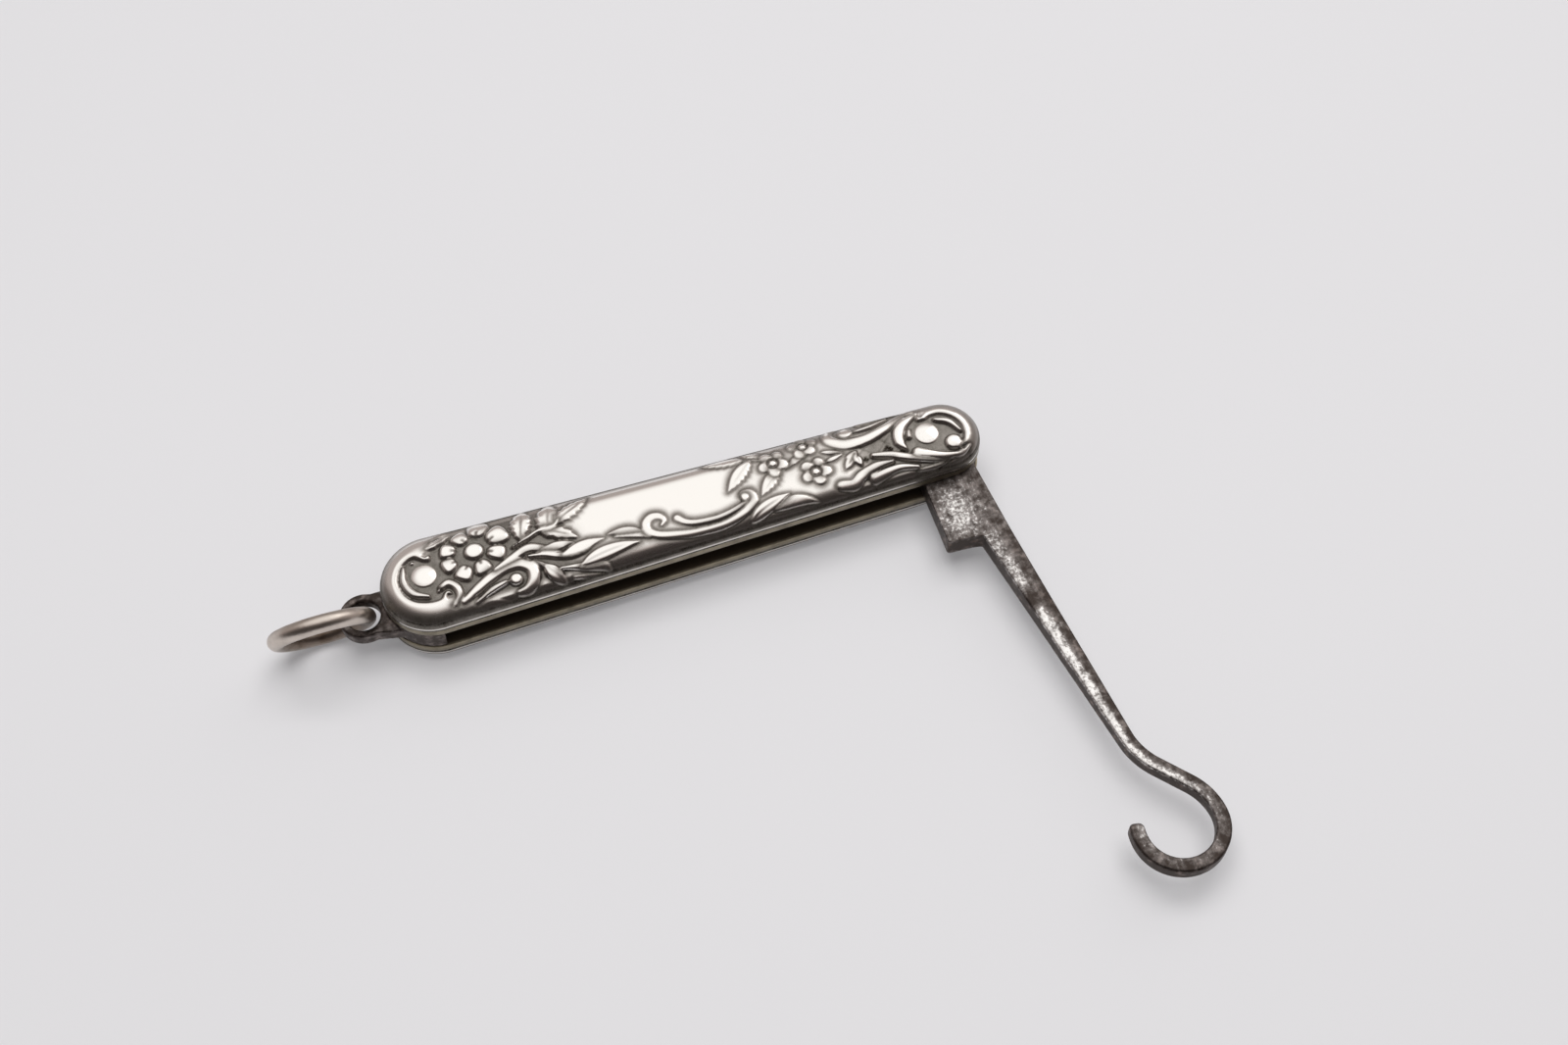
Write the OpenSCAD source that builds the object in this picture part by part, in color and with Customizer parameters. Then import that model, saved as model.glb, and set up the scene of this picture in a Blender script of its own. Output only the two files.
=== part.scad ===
// Folding button hook with embossed silver scales, half open.
// Millimetres, +Z up. The origin is on the table, midway between the pivot pin and the tail pin.
// The handle runs along X with its tail at -X. The slot opens toward -Y.

/* [Handle] */
// length of the handle without the hanging eye
handle_len = 63.2; // [58:0.2:70]
// width across the tail end
tail_w = 10.5; // [10:0.1:12]
// width across the pivot end
nose_w = 8; // [7.8:0.1:9]
// pivot pin to the pivot end
nose_inset = 5.6; // [5.3:0.05:6]
// tail pin to the tail end
tail_inset = 4.6; // [4.4:0.05:5]
// middle of the handle from the line of the pins, toward the slot
side_shift = 0.25; // [0.1:0.05:0.35]
// clear gap between the liners
slot_gap = 2.5; // [2.2:0.05:3]
// thickness of one liner
liner_t = 0.8; // [0.6:0.05:1]

/* [Scales] */
// height of a scale above its liner
dome_h = 2.15; // [1.9:0.05:2.6]
// thickness of the silver
scale_t = 0.4; // [0.3:0.05:0.5]
// upright part of the edge
flank_h = 0.3; // [0.2:0.05:0.4]
// share of the half width that the rounded shoulder takes
shoulder_share = 0.6; // [0.5:0.02:0.64]
// depth of the dished seat round each pin head
seat_depth = 0.45; // [0.35:0.05:0.6]
// clear ring between a pin head and the wall of its seat
seat_clear = 0.25; // [0.2:0.05:0.35]

/* [Pins] */
// diameter of the pivot and tail pins
pin_d = 1.8; // [1.4:0.05:2]
// diameter of their heads
head_d = 2.5; // [2.3:0.05:2.7]
// rise of the domed head
head_rise = 0.25; // [0.15:0.05:0.3]
// top of the head below the crown of the scale
head_sink = 0.03; // [0.02:0.01:0.1]
// diameter of the hidden spring pin
spring_pin_d = 0.7; // [0.6:0.05:0.8]

/* [Hook] */
// angle of the hook from the handle, 0 is straight out and -180 is closed
hook_angle = -85; // [-180:1:0]
// thickness of the tang
tang_t = 2.3; // [2:0.05:2.35]
// radius of the tang round the pivot
tang_r = 2.35; // [2.1:0.05:2.5]
// inner corner of the tang, measured from the pivot
tang_in = 2.7; // [2.4:0.05:2.8]
// the same edge where it leaves the handle
tang_waist = 1.75; // [1.5:0.05:1.9]
// pivot to that waist, along the hook
waist_u = 1.2; // [1:0.1:1.6]
// pivot to the step at the end of the tang
tang_len = 12; // [10:0.2:14]
// slope of the step, along the hook
step_run = 0.7; // [0.4:0.1:1]
// back of the hook, measured from the pivot
spine_off = 3.84; // [3.6:0.02:4]
// width of the shank at the step
shank_w = 2.9; // [2.4:0.05:3.1]
// width of the drawn-down end
wire_w = 1.5; // [1.3:0.05:1.7]
// thickness of the drawn-down end
wire_t = 1.65; // [1.4:0.05:1.8]
// direction of the shank at its end
shank_tilt = 4; // [2:0.5:6]
// direction of the outward bend
bend_angle = 36; // [30:1:42]
// radius of the outward bend
bend_r = 7; // [5:0.2:9]
// straight run after the bend
run_len = 3.56; // [2.8:0.02:4.4]
// radius where the bow begins
bow_in_r = 6; // [5:0.1:7]
// radius of the bow
bow_r = 4.12; // [3.9:0.02:4.4]
// radius of the opened tip
tip_r = 5; // [4:0.2:7]
// turn of the opened tip
tip_turn = 14; // [8:1:20]

/* [Spring] */
// gap between the tang and the spring
spring_gap = 0.1; // [0.06:0.02:0.16]
// reach of the spring nose past the pivot
spring_nose = 2.6; // [2:0.1:2.8]
// clear space between the spring nose and the shoulder of the open hook
nose_clear = 0.25; // [0.2:0.05:0.4]
// clear space between the leaf and the corner of the closed tang
leaf_clear = 0.25; // [0.2:0.05:0.3]
// end of the thinned leaf, short of the corner of the closed tang
relief_back = 3; // [2.4:0.2:4]
// inner edge of the thick root of the leaf, measured from the pins
root_in = 1.1; // [1:0.05:1.4]
// reach of the thick root past the tail pin
root_len = 2.9; // [2.4:0.1:3.4]
// clear space between the closed hook and the tail block
hook_clear = 0.35; // [0.3:0.05:0.6]
// wall of the block round the tail pin
pin_wall = 0.9; // [0.7:0.05:0.95]
// curved face of the block, behind the middle of the tail pin
block_back = -0.2; // [-0.3:0.05:0]

/* [Hanging eye and ring] */
// hole of the eye
eye_hole_d = 3.3; // [3.2:0.05:3.6]
// width of the metal round the hole
eye_wall = 0.85; // [0.8:0.05:1]
// thickness of the eye
eye_t = 1.6; // [1.4:0.05:1.7]
// eye centre to the tail end
eye_off = 2.15; // [2.1:0.05:2.6]
// eye centre from the middle of the handle
eye_side = -0.6; // [-0.8:0.05:0]
// neck of the eye inside its outer edge
neck_in = 0.3; // [0.2:0.05:0.4]
// widening of the neck toward the slot
neck_flare = 0.8; // [0.6:0.05:1]
// neck run into the tail block
neck_root = 1.5; // [1.2:0.1:2]
// middle radius of the ring
ring_r = 4.6; // [4.4:0.05:4.8]
// wire of the ring
ring_wire = 1.8; // [1.6:0.05:1.85]
// height of the ring centre above the eye
ring_rise = 1; // [0.8:0.05:1.1]
// middle of the ring wire from the middle of the hole
ring_slack = 0.35; // [0.25:0.05:0.4]
// ring above the table
floor_gap = 0.05; // [0.02:0.01:0.1]

/* [Fits] */
// radial clearance of the hook on its pin
run_fit = 0.03; // [0.02:0.01:0.06]
// radial clearance of a pin in a plate
seat_fit = 0.02; // [0.01:0.01:0.04]
// gap between the silver and its filling
fill_gap = 0.05; // [0.03:0.01:0.1]
// set-back of the spring edge from the liner edge
edge_back = 0.1; // [0.05:0.05:0.15]

/* [Hidden] */
$fn = 64;
nose_r = nose_w / 2;
tail_r = tail_w / 2;
nose_x = nose_inset - nose_r;
tail_end = nose_inset - handle_len;
tail_x = tail_end + tail_r;
tail_pin_x = tail_end + tail_inset;
mid_x = -tail_pin_x / 2;
rim_z = slot_gap / 2 + liner_t;
crown_z = rim_z + dome_h;
mid_z = crown_z;
pin_r = pin_d / 2;
head_r = head_d / 2;
head_sphere = (head_r * head_r + head_rise * head_rise) / (2 * head_rise);
head_top = crown_z - head_sink;
seat_r = head_r + seat_clear;
eye_hole_r = eye_hole_d / 2;
eye_out_r = eye_hole_r + eye_wall;
eye_x = tail_end - eye_off;
shoulder_u = spring_nose + nose_clear;
shank_in = spine_off - shank_w;
spring_pin_x = tail_pin_x / 2;
spring_in = tang_r + spring_gap;
spring_leaf_in = tang_in + leaf_clear;
relief_end = tang_len - relief_back;
relief_start = relief_end / 2;
spring_mid = (spring_leaf_in + (nose_r + tail_r) / 2 - side_shift - edge_back) / 2;

// the closed hook must stop short of the tail block
block_r = -tail_pin_x + block_back;
hook_reach = block_r - hook_clear;

// middle line of the hook, worked back from its far end
bend_du = bend_r * (sin(bend_angle) - sin(shank_tilt));
bend_dv = bend_r * (cos(shank_tilt) - cos(bend_angle));
run_du = run_len * cos(bend_angle);
run_dv = run_len * sin(bend_angle);
bow_du = bow_in_r * sin(bend_angle);
bow_dv = bow_in_r * (1 - cos(bend_angle));
bow_top = spine_off + bend_dv + run_dv + bow_dv;
bow_v = bow_top - bow_r;
bow_far = hook_reach - bow_r - wire_w / 2;
bow_u = sqrt(bow_far * bow_far - bow_v * bow_v);
bend_u = bow_u - bow_du - run_du - bend_du;
run_u = bend_u + bend_du;
run_v = spine_off + bend_dv;
lap = 0.3;
lap_turn = 4;
lap_thin = 0.02;
plate = 0.1;
over = 1;
tuck = 0.005;
corner_share = 0.88;

// the ring leans in the eye with its lowest point on the table
ring_z = mid_z + ring_rise;
ring_lean = asin(min(0.98, (ring_z - ring_wire / 2 - floor_gap) / ring_r));
ring_x = eye_x + ring_slack - ring_r;
ring_y = eye_side - ring_rise / tan(ring_lean);

// tangent points of the two end circles
function side_sin(r1, r2) = (r1 - r2) / (nose_x - tail_x);
function side_cos(r1, r2) = sqrt(1 - side_sin(r1, r2) * side_sin(r1, r2));

// handle outline, drawn in by a margin, with its sides a hair inside the end circles that they meet
module outline(inset = 0) {
    r1 = tail_r - inset - tuck;
    r2 = nose_r - inset - tuck;
    s = side_sin(r1, r2);
    c = side_cos(r1, r2);
    translate([0, -side_shift]) union() {
        translate([tail_x, 0]) circle(r = r1 + tuck);
        translate([nose_x, 0]) circle(r = r2 + tuck);
        polygon([[tail_x + r1 * s, r1 * c], [tail_x + r1 * s, -r1 * c],
                 [nose_x + r2 * s, -r2 * c], [nose_x + r2 * s, r2 * c]]);
    }
}

// half section of a domed end, rounded from the edge to a flat crown
function dome_half(r, h) = concat(
    [[0, 0], [r, 0]],
    [for (t = [0:10:90]) [r * (1 - shoulder_share * (1 - cos(t))), flank_h + (h - flank_h) * sin(t)]],
    [[0, h]]);

// dome between the two ends, drawn in by a margin
module dome(inset, h) {
    hull() {
        translate([tail_x, -side_shift, 0]) rotate_extrude($fn = 56) polygon(dome_half(tail_r - inset, h));
        translate([nose_x, -side_shift, 0]) rotate_extrude($fn = 56) polygon(dome_half(nose_r - inset, h));
    }
}

module at_pins() {
    children();
    translate([tail_pin_x, 0, 0]) children();
}

module scale_shell() {
    cup_z = dome_h - seat_depth - scale_t;
    difference() {
        dome(0, dome_h);
        difference() {
            dome(scale_t, dome_h - scale_t);
            at_pins() translate([0, 0, cup_z]) cylinder(r = seat_r + scale_t, h = dome_h);
        }
        at_pins() translate([0, 0, dome_h - seat_depth]) cylinder(r = seat_r, h = dome_h);
        at_pins() translate([0, 0, -over]) cylinder(r = pin_r + seat_fit, h = dome_h + 2 * over);
    }
}

module scale_filling() {
    cup_z = dome_h - seat_depth - scale_t - fill_gap;
    difference() {
        dome(scale_t + fill_gap, dome_h - scale_t - fill_gap);
        at_pins() translate([0, 0, cup_z]) cylinder(r = seat_r + scale_t + fill_gap, h = dome_h);
        at_pins() translate([0, 0, -over]) cylinder(r = pin_r + seat_fit, h = dome_h + 2 * over);
    }
}

module liner_plate() {
    difference() {
        linear_extrude(height = liner_t) outline();
        at_pins() translate([0, 0, -over]) cylinder(r = pin_r + seat_fit, h = liner_t + 2 * over);
        translate([spring_pin_x, spring_mid, -over])
            cylinder(r = spring_pin_d / 2 + seat_fit, h = liner_t + 2 * over);
    }
}

module front_scale() {
    color("silver") translate([mid_x, 0, mid_z + rim_z]) scale_shell();
}

module back_scale() {
    color("silver") translate([mid_x, 0, mid_z - rim_z]) mirror([0, 0, 1]) scale_shell();
}

module front_filling() {
    color("saddlebrown") translate([mid_x, 0, mid_z + rim_z]) scale_filling();
}

module back_filling() {
    color("saddlebrown") translate([mid_x, 0, mid_z - rim_z]) mirror([0, 0, 1]) scale_filling();
}

module front_liner() {
    color("khaki") translate([mid_x, 0, mid_z + slot_gap / 2]) liner_plate();
}

module back_liner() {
    color("khaki") translate([mid_x, 0, mid_z - rim_z]) liner_plate();
}

// spring leaf and tail block in plan
module spring_plan() {
    union() {
        intersection() {
            outline(edge_back);
            union() {
                difference() {
                    translate([tail_end - over, -tail_w]) square([tail_w, tail_w * 2]);
                    circle(r = block_r, $fn = 96);
                }
                translate([tail_end - over, root_in]) square([over + tail_inset + root_len, tail_w]);
                polygon([[spring_nose, spring_in], [spring_nose, tail_w],
                         [tail_end, tail_w], [tail_end, spring_leaf_in],
                         [-relief_end, spring_leaf_in], [-relief_start, spring_in]]);
            }
        }
        translate([tail_pin_x, 0]) circle(r = pin_r + pin_wall);
    }
}

// bar section with its four corners rounded
module bar(w, t) {
    intersection() {
        square([w, t], center = true);
        circle(d = sqrt(w * w + t * t) * corner_share, $fn = 32);
    }
}

module eye_neck() {
    neck_w = eye_out_r - neck_in;
    difference() {
        linear_extrude(height = eye_t, center = true)
            polygon([[eye_x, eye_side + neck_w], [tail_end + neck_root, eye_side + neck_w],
                     [tail_end + neck_root, eye_side - neck_w - neck_flare], [eye_x, eye_side - neck_w]]);
        translate([eye_x, eye_side, 0])
            cylinder(r = eye_hole_r + eye_wall / 2, h = eye_t * 2, center = true);
    }
}

module back_spring() {
    color("dimgray") translate([mid_x, 0, mid_z]) {
        difference() {
            linear_extrude(height = slot_gap, center = true) spring_plan();
            translate([tail_pin_x, 0, 0])
                cylinder(r = pin_r + seat_fit, h = slot_gap + 2 * over, center = true);
            translate([spring_pin_x, spring_mid, 0])
                cylinder(r = spring_pin_d / 2 + seat_fit, h = slot_gap + 2 * over, center = true);
        }
        eye_neck();
        translate([eye_x, eye_side, 0])
            rotate_extrude() translate([eye_hole_r + eye_wall / 2, 0]) bar(eye_wall, eye_t);
    }
}

module tang() {
    difference() {
        linear_extrude(height = tang_t, center = true) {
            union() {
                circle(r = tang_r);
                polygon([[0, 0], [waist_u, -tang_waist], [tang_len - step_run, -tang_in],
                         [tang_len, shank_in], [tang_len, spine_off],
                         [shoulder_u, spine_off], [shoulder_u, tang_r], [0, tang_r]]);
            }
        }
        cylinder(r = pin_r + run_fit, h = tang_t + 2 * over, center = true);
    }
}

// one bend of the drawn-down end, thinned a little where it runs into its neighbours
module arc(u, v, from, turn, r, thin = 0) {
    translate([u, v, 0]) rotate([0, 0, from])
        rotate_extrude(angle = turn) translate([r, 0]) bar(wire_w - thin, wire_t - thin);
}

// length of bar that stands across the hook
module cross_plate(u, v, w, t, len = plate) {
    translate([u, v, 0]) rotate([90, 0, 90]) linear_extrude(height = len) bar(w, t);
}

module hook() {
    tip_v = bow_v - bow_r;
    color("gray") translate([mid_x, 0, mid_z]) rotate([0, 0, hook_angle]) {
        tang();
        hull() {
            cross_plate(tang_len - 2 * lap, spine_off - shank_w / 2, shank_w - plate, tang_t - plate);
            translate([bend_u, spine_off, 0]) rotate([0, 0, shank_tilt])
                cross_plate(lap - plate, 0, wire_w - lap_thin, wire_t - lap_thin);
        }
        arc(bend_u - bend_r * sin(shank_tilt), spine_off + bend_r * cos(shank_tilt),
            shank_tilt - 90, bend_angle - shank_tilt, bend_r);
        translate([run_u, run_v, 0]) rotate([0, 0, bend_angle])
            cross_plate(-lap, 0, wire_w - lap_thin, wire_t - lap_thin, run_len + 2 * lap);
        arc(bow_u, bow_top - bow_in_r, 90, bend_angle, bow_in_r);
        arc(bow_u, bow_v, -90 - lap_turn, 180 + 2 * lap_turn, bow_r, lap_thin);
        arc(bow_u, tip_v + tip_r, -90 - tip_turn, tip_turn, tip_r);
        translate([bow_u - tip_r * sin(tip_turn), tip_v + tip_r * (1 - cos(tip_turn)), 0])
            sphere(d = wire_w - lap_thin * 2);
    }
}

// a pin with a low domed head at each end
module headed_pin() {
    seat_z = crown_z - seat_depth;
    union() {
        cylinder(r = pin_r, h = seat_z * 2, center = true);
        for (s = [-1, 1]) {
            intersection() {
                translate([0, 0, s * (head_top - head_sphere)]) sphere(r = head_sphere);
                translate([0, 0, s * (seat_z + head_top) / 2])
                    cylinder(r = head_r, h = head_top - seat_z, center = true);
            }
        }
    }
}

module pivot_pin() {
    color("lightsteelblue") translate([mid_x, 0, mid_z]) headed_pin();
}

module tail_pin() {
    color("lightsteelblue") translate([-mid_x, 0, mid_z]) headed_pin();
}

module spring_pin() {
    color("slategray") translate([mid_x + spring_pin_x, spring_mid, mid_z])
        cylinder(r = spring_pin_d / 2, h = rim_z * 2, center = true);
}

module hanging_ring() {
    color("lightgray") translate([mid_x + ring_x, ring_y, ring_z]) rotate([180 - ring_lean, 0, 0])
        rotate_extrude() translate([ring_r, 0]) circle(d = ring_wire);
}

front_scale();
back_scale();
front_filling();
back_filling();
front_liner();
back_liner();
back_spring();
hook();
pivot_pin();
tail_pin();
spring_pin();
hanging_ring();
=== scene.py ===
import functools
import math

import bmesh
import bpy
import numpy as np
from bpy.props import FloatProperty, FloatVectorProperty, IntProperty, PointerProperty
from bpy.types import Operator, Panel, PropertyGroup
from mathutils import Matrix, Vector


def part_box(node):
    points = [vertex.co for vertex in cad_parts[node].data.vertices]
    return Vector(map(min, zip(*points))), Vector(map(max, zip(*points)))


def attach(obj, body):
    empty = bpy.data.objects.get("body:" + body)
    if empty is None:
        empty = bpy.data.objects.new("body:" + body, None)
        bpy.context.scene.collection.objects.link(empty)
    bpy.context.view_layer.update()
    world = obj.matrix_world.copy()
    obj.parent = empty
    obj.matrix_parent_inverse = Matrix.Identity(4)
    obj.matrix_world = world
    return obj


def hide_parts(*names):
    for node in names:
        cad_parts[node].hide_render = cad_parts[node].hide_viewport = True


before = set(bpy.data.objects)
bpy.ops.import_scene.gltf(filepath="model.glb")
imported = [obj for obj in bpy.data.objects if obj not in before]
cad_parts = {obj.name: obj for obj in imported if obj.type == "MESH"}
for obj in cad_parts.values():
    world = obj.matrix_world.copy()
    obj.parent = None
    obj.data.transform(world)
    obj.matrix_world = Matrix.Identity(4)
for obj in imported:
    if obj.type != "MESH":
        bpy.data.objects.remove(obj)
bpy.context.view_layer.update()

bl_info = {
    "name": "Folding button hook",
    "version": (1, 0, 0),
    "blender": (4, 5, 0),
    "location": "3D View > Sidebar > Button hook",
    "description": "Dresses the frame of a folding button hook with embossed silver and worn steel",
    "category": "Add Mesh",
}

MM = 0.001
SCALE_LOW, SCALE_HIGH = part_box("front_scale")
PIN_LOW, PIN_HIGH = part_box("pivot_pin")
SIDE_Y = (SCALE_LOW.y + SCALE_HIGH.y) / 2
MID_Z = (SCALE_HIGH.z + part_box("back_scale")[0].z) / 2


def pin_middle(node):
    """Middle of a pin, at half the height of the handle."""
    low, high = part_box(node)
    return Vector(((low.x + high.x) / 2, (low.y + high.y) / 2, MID_Z))


PIVOT = pin_middle("pivot_pin")
TAIL_PIN = pin_middle("tail_pin")


# Settings

def length(name, about, default):
    return FloatProperty(name=name, description=about, default=default, min=0.0, precision=6, unit="LENGTH")


def turn(name, about, degrees):
    return FloatProperty(name=name, description=about, default=math.radians(degrees), subtype="ANGLE")


def share(name, about, default):
    return FloatProperty(name=name, description=about, default=default, min=0.0, max=1.0, subtype="FACTOR")


def colour(name, about, default):
    return FloatVectorProperty(name=name, description=about, default=default, min=0.0, max=1.0,
                               size=3, subtype="COLOR")


class HandleSizes(PropertyGroup):
    tail_radius: length("Tail radius", "Half the width across the tail end",
                        (SCALE_HIGH.y - SCALE_LOW.y) / 2)
    nose_radius: length("Nose radius", "Half the width across the pivot end", 4 * MM)
    flank: length("Flank", "Upright part of the edge of a scale", 0.3 * MM)
    shoulder: share("Shoulder", "Share of the half width that the rounded shoulder takes", 0.6)
    wall: length("Wall", "Thickness of the silver", 0.4 * MM)
    cell: length("Cell", "Size of the mesh cells that carry the embossing", 0.098 * MM)
    ground: length("Ground", "Depth of the matted ground below the dome", 0.38 * MM)
    panel: length("Panel", "Depth of the polished panel below the dome", 0.12 * MM)
    seat: length("Seat", "Half the width of the flat seat of a pin head", 1.5 * MM)
    edge_round: length("Edge round", "Rounding of the edges of a liner", 0.07 * MM)
    spring_cell: length("Spring cell", "Size of the mesh cells of the worn spring", 0.12 * MM)


class PinSizes(PropertyGroup):
    radius: length("Pin radius", "Half the thickness of a pin", 0.9 * MM)
    head_radius: length("Head radius", "Half the width of a pin head", (PIN_HIGH.x - PIN_LOW.x) / 2)
    head_height: length("Head height", "Height of a pin head above its seat", 0.42 * MM)
    head_rise: length("Head rise", "Doming of a pin head", 0.25 * MM)
    head_rim: length("Head rim", "Bevel between the dome and the side of a pin head", 0.02 * MM)


class HookSizes(PropertyGroup):
    rest_angle: turn("Rest angle", "Turn of the hook from the line of the handle", -85)
    tang_radius: length("Tang radius", "Rounded end of the tang round the pivot", 2.35 * MM)
    tang_thick: length("Tang thickness", "Thickness of the tang", 2.3 * MM)
    tang_round: length("Tang edges", "Rounding of the edges of the tang", 0.16 * MM)
    waist_at: length("Waist place", "Pivot to the waist of the tang", 1.2 * MM)
    tang_waist: length("Tang waist", "Inner edge of the tang near the pivot", 1.75 * MM)
    tang_in: length("Tang corner", "Inner corner of the tang", 2.7 * MM)
    tang_length: length("Tang length", "Pivot to the end of the step", 12 * MM)
    step_run: length("Step run", "Slope of the step along the hook", 0.7 * MM)
    heel: length("Heel", "Rounding of the inner corner of the tang", 0.35 * MM)
    shoulder_at: length("Shoulder", "Pivot to the shoulder that clears the spring", 2.85 * MM)
    spine: length("Spine", "Back of the hook from the pivot", 3.84 * MM)
    shank_width: length("Shank width", "Width of the shank at the step", 2.9 * MM)
    wire_width: length("Wire width", "Width of the drawn-down end", 1.48 * MM)
    wire_thick: length("Wire thickness", "Thickness of the drawn-down end", 1.65 * MM)
    wire_round: length("Wire edges", "Rounding of the edges of the drawn-down end", 0.28 * MM)
    shank_tilt: turn("Shank tilt", "Direction of the shank at its end", 4)
    bend_turn: turn("Bend", "Direction of the outward bend", 36)
    bend_radius: length("Bend radius", "Radius of the outward bend", 7 * MM)
    run: length("Run", "Straight run after the bend", 3.56 * MM)
    bow_in_radius: length("Bow entry", "Radius where the bow begins", 6 * MM)
    bow_radius: length("Bow radius", "Radius of the bow", 4.12 * MM)
    tip_radius: length("Tip radius", "Radius of the opened tip", 5 * MM)
    tip_turn: turn("Tip turn", "Turn of the opened tip", 14)
    reach: length("Reach", "Pivot to the far side of the bow", 52.43 * MM)
    rubbed_at: length("Rubbed place", "Pivot to the brightest place of the tang", 8.6 * MM)
    rubbed_reach: length("Rubbed reach", "How far the rubbed place of the tang spreads", 3.2 * MM)
    stain_at: length("Stain place", "Pivot to the dark stain on the shank", 20.4 * MM)
    stain_reach: length("Stain reach", "How far the stain on the shank spreads", 1.3 * MM)


class RingSizes(PropertyGroup):
    radius: length("Ring radius", "Middle of the wire from the middle of the ring", 4.594 * MM)
    wire: length("Wire", "Thickness of the ring's wire", 1.79 * MM)
    lean: turn("Lean", "Lean of the ring from flat", 67.5)
    segments: IntProperty(name="Segments", description="Steps round the ring", default=160, min=24)


class Finishes(PropertyGroup):
    silver: colour("Silver", "Polished silver", (0.93, 0.9, 0.86))
    dim_silver: colour("Dim silver", "Patches on the pin heads", (0.72, 0.66, 0.58))
    # This colour serves both thin tarnish and the painted shade on the shoulders of the dome.
    film_and_shade: colour("Film", "Thin tarnish beside the ornament", (0.385, 0.355, 0.33))
    matte: colour("Matte ground", "Tarnish of the matted ground", (0.17, 0.157, 0.137))
    oxide: colour("Oxide", "Black tarnish along the outlines", (0.02, 0.014, 0.01))
    worn_silver: colour("Worn silver", "Rubbed silver of the ring", (0.72, 0.65, 0.585))
    # The ring's brown is tarnish and also painted shade on the inside and one face of the wire.
    brown_silver_and_shade: colour("Brown silver", "Tarnish of the ring", (0.16, 0.115, 0.085))
    steel: colour("Steel", "Dark steel of the hook", (0.062, 0.049, 0.043))
    grey_steel: colour("Grey steel", "Rubbed places of the steel", (0.27, 0.245, 0.235))
    bright_steel: colour("Bright steel", "Bare specks of the steel", (0.85, 0.83, 0.81))
    rust: colour("Rust", "Brown patches of the steel", (0.12, 0.055, 0.03))
    liner: colour("Liner", "Yellowish sheet of the liners", (0.29, 0.255, 0.19))
    # Dark colour of the liners' flat faces: dirt, and painted shade for the inside of the slot.
    dirt_and_shade_liner: colour("Dull liner", "Dirt on the faces of the liners", (0.06, 0.044, 0.028))
    pitch: colour("Pitch", "Filling of the scales", (0.05, 0.032, 0.022))
    dry_pitch: colour("Dry pitch", "Crust on the filling", (0.09, 0.06, 0.04))
    floor: colour("Floor", "Pale ground under the object", (0.748, 0.744, 0.767))
    lamp: colour("Lamp", "Light of the lamps", (1.0, 0.985, 0.97))
    bright_room: colour("Bright room", "Light side of the room", (1.0, 0.99, 0.98))
    dim_room: colour("Dim room", "Dark side of the room", (1.0, 0.82, 0.77))


# Shapes

def new_piece(name, bm, smooth_angle=35.0):
    """A finished mesh object at the origin, smooth over all but its sharp edges."""
    mesh = bpy.data.meshes.new(name)
    bm.normal_update()
    bm.to_mesh(mesh)
    bm.free()
    for polygon in mesh.polygons:
        polygon.use_smooth = True
    mesh.set_sharp_from_angle(angle=math.radians(smooth_angle))
    piece = bpy.data.objects.new(name, mesh)
    bpy.context.scene.collection.objects.link(piece)
    return piece


def coat(piece, material):
    """Gives a piece one material."""
    piece.data.materials.clear()
    piece.data.materials.append(material)


def dress(piece, body, slot, material, *nodes):
    """Finishes a piece and puts it in the place of CAD nodes."""
    coat(piece, material)
    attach(piece, body)
    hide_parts(*nodes)


def mix(first, second, part):
    return first + (second - first) * part


def smooth_step(low, high, x):
    """Rises softly from 0 at low to 1 at high. High may be the lesser one."""
    t = np.clip((x - low) / (high - low), 0.0, 1.0)
    return t * t * (3.0 - 2.0 * t)


def swell(x, middle, reach):
    """A soft hump of height 1."""
    return np.exp(-((x - middle) / reach) ** 2)


def curve_through(points, spacing=0.06):
    """A smooth curve through a few points, with how far along them each of its own points is."""
    given = np.array(points, float)
    ends = np.vstack([2 * given[0] - given[1], given, 2 * given[-1] - given[-2]])
    path, along = [], []
    for i in range(len(given) - 1):
        a, b, c, d = ends[i:i + 4]
        steps = max(4, int(np.linalg.norm(c - b) / spacing))
        t = np.linspace(0, 1, steps, endpoint=False)[:, None]
        path.append(0.5 * (2 * b + (c - a) * t + (2 * a - 5 * b + 4 * c - d) * t ** 2
                           + (3 * b - a - 3 * c + d) * t ** 3))
        along.append(i + t[:, 0])
    path.append(given[-1:])
    along.append(np.array([len(given) - 1.0]))
    return np.vstack(path), np.concatenate(along)


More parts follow.
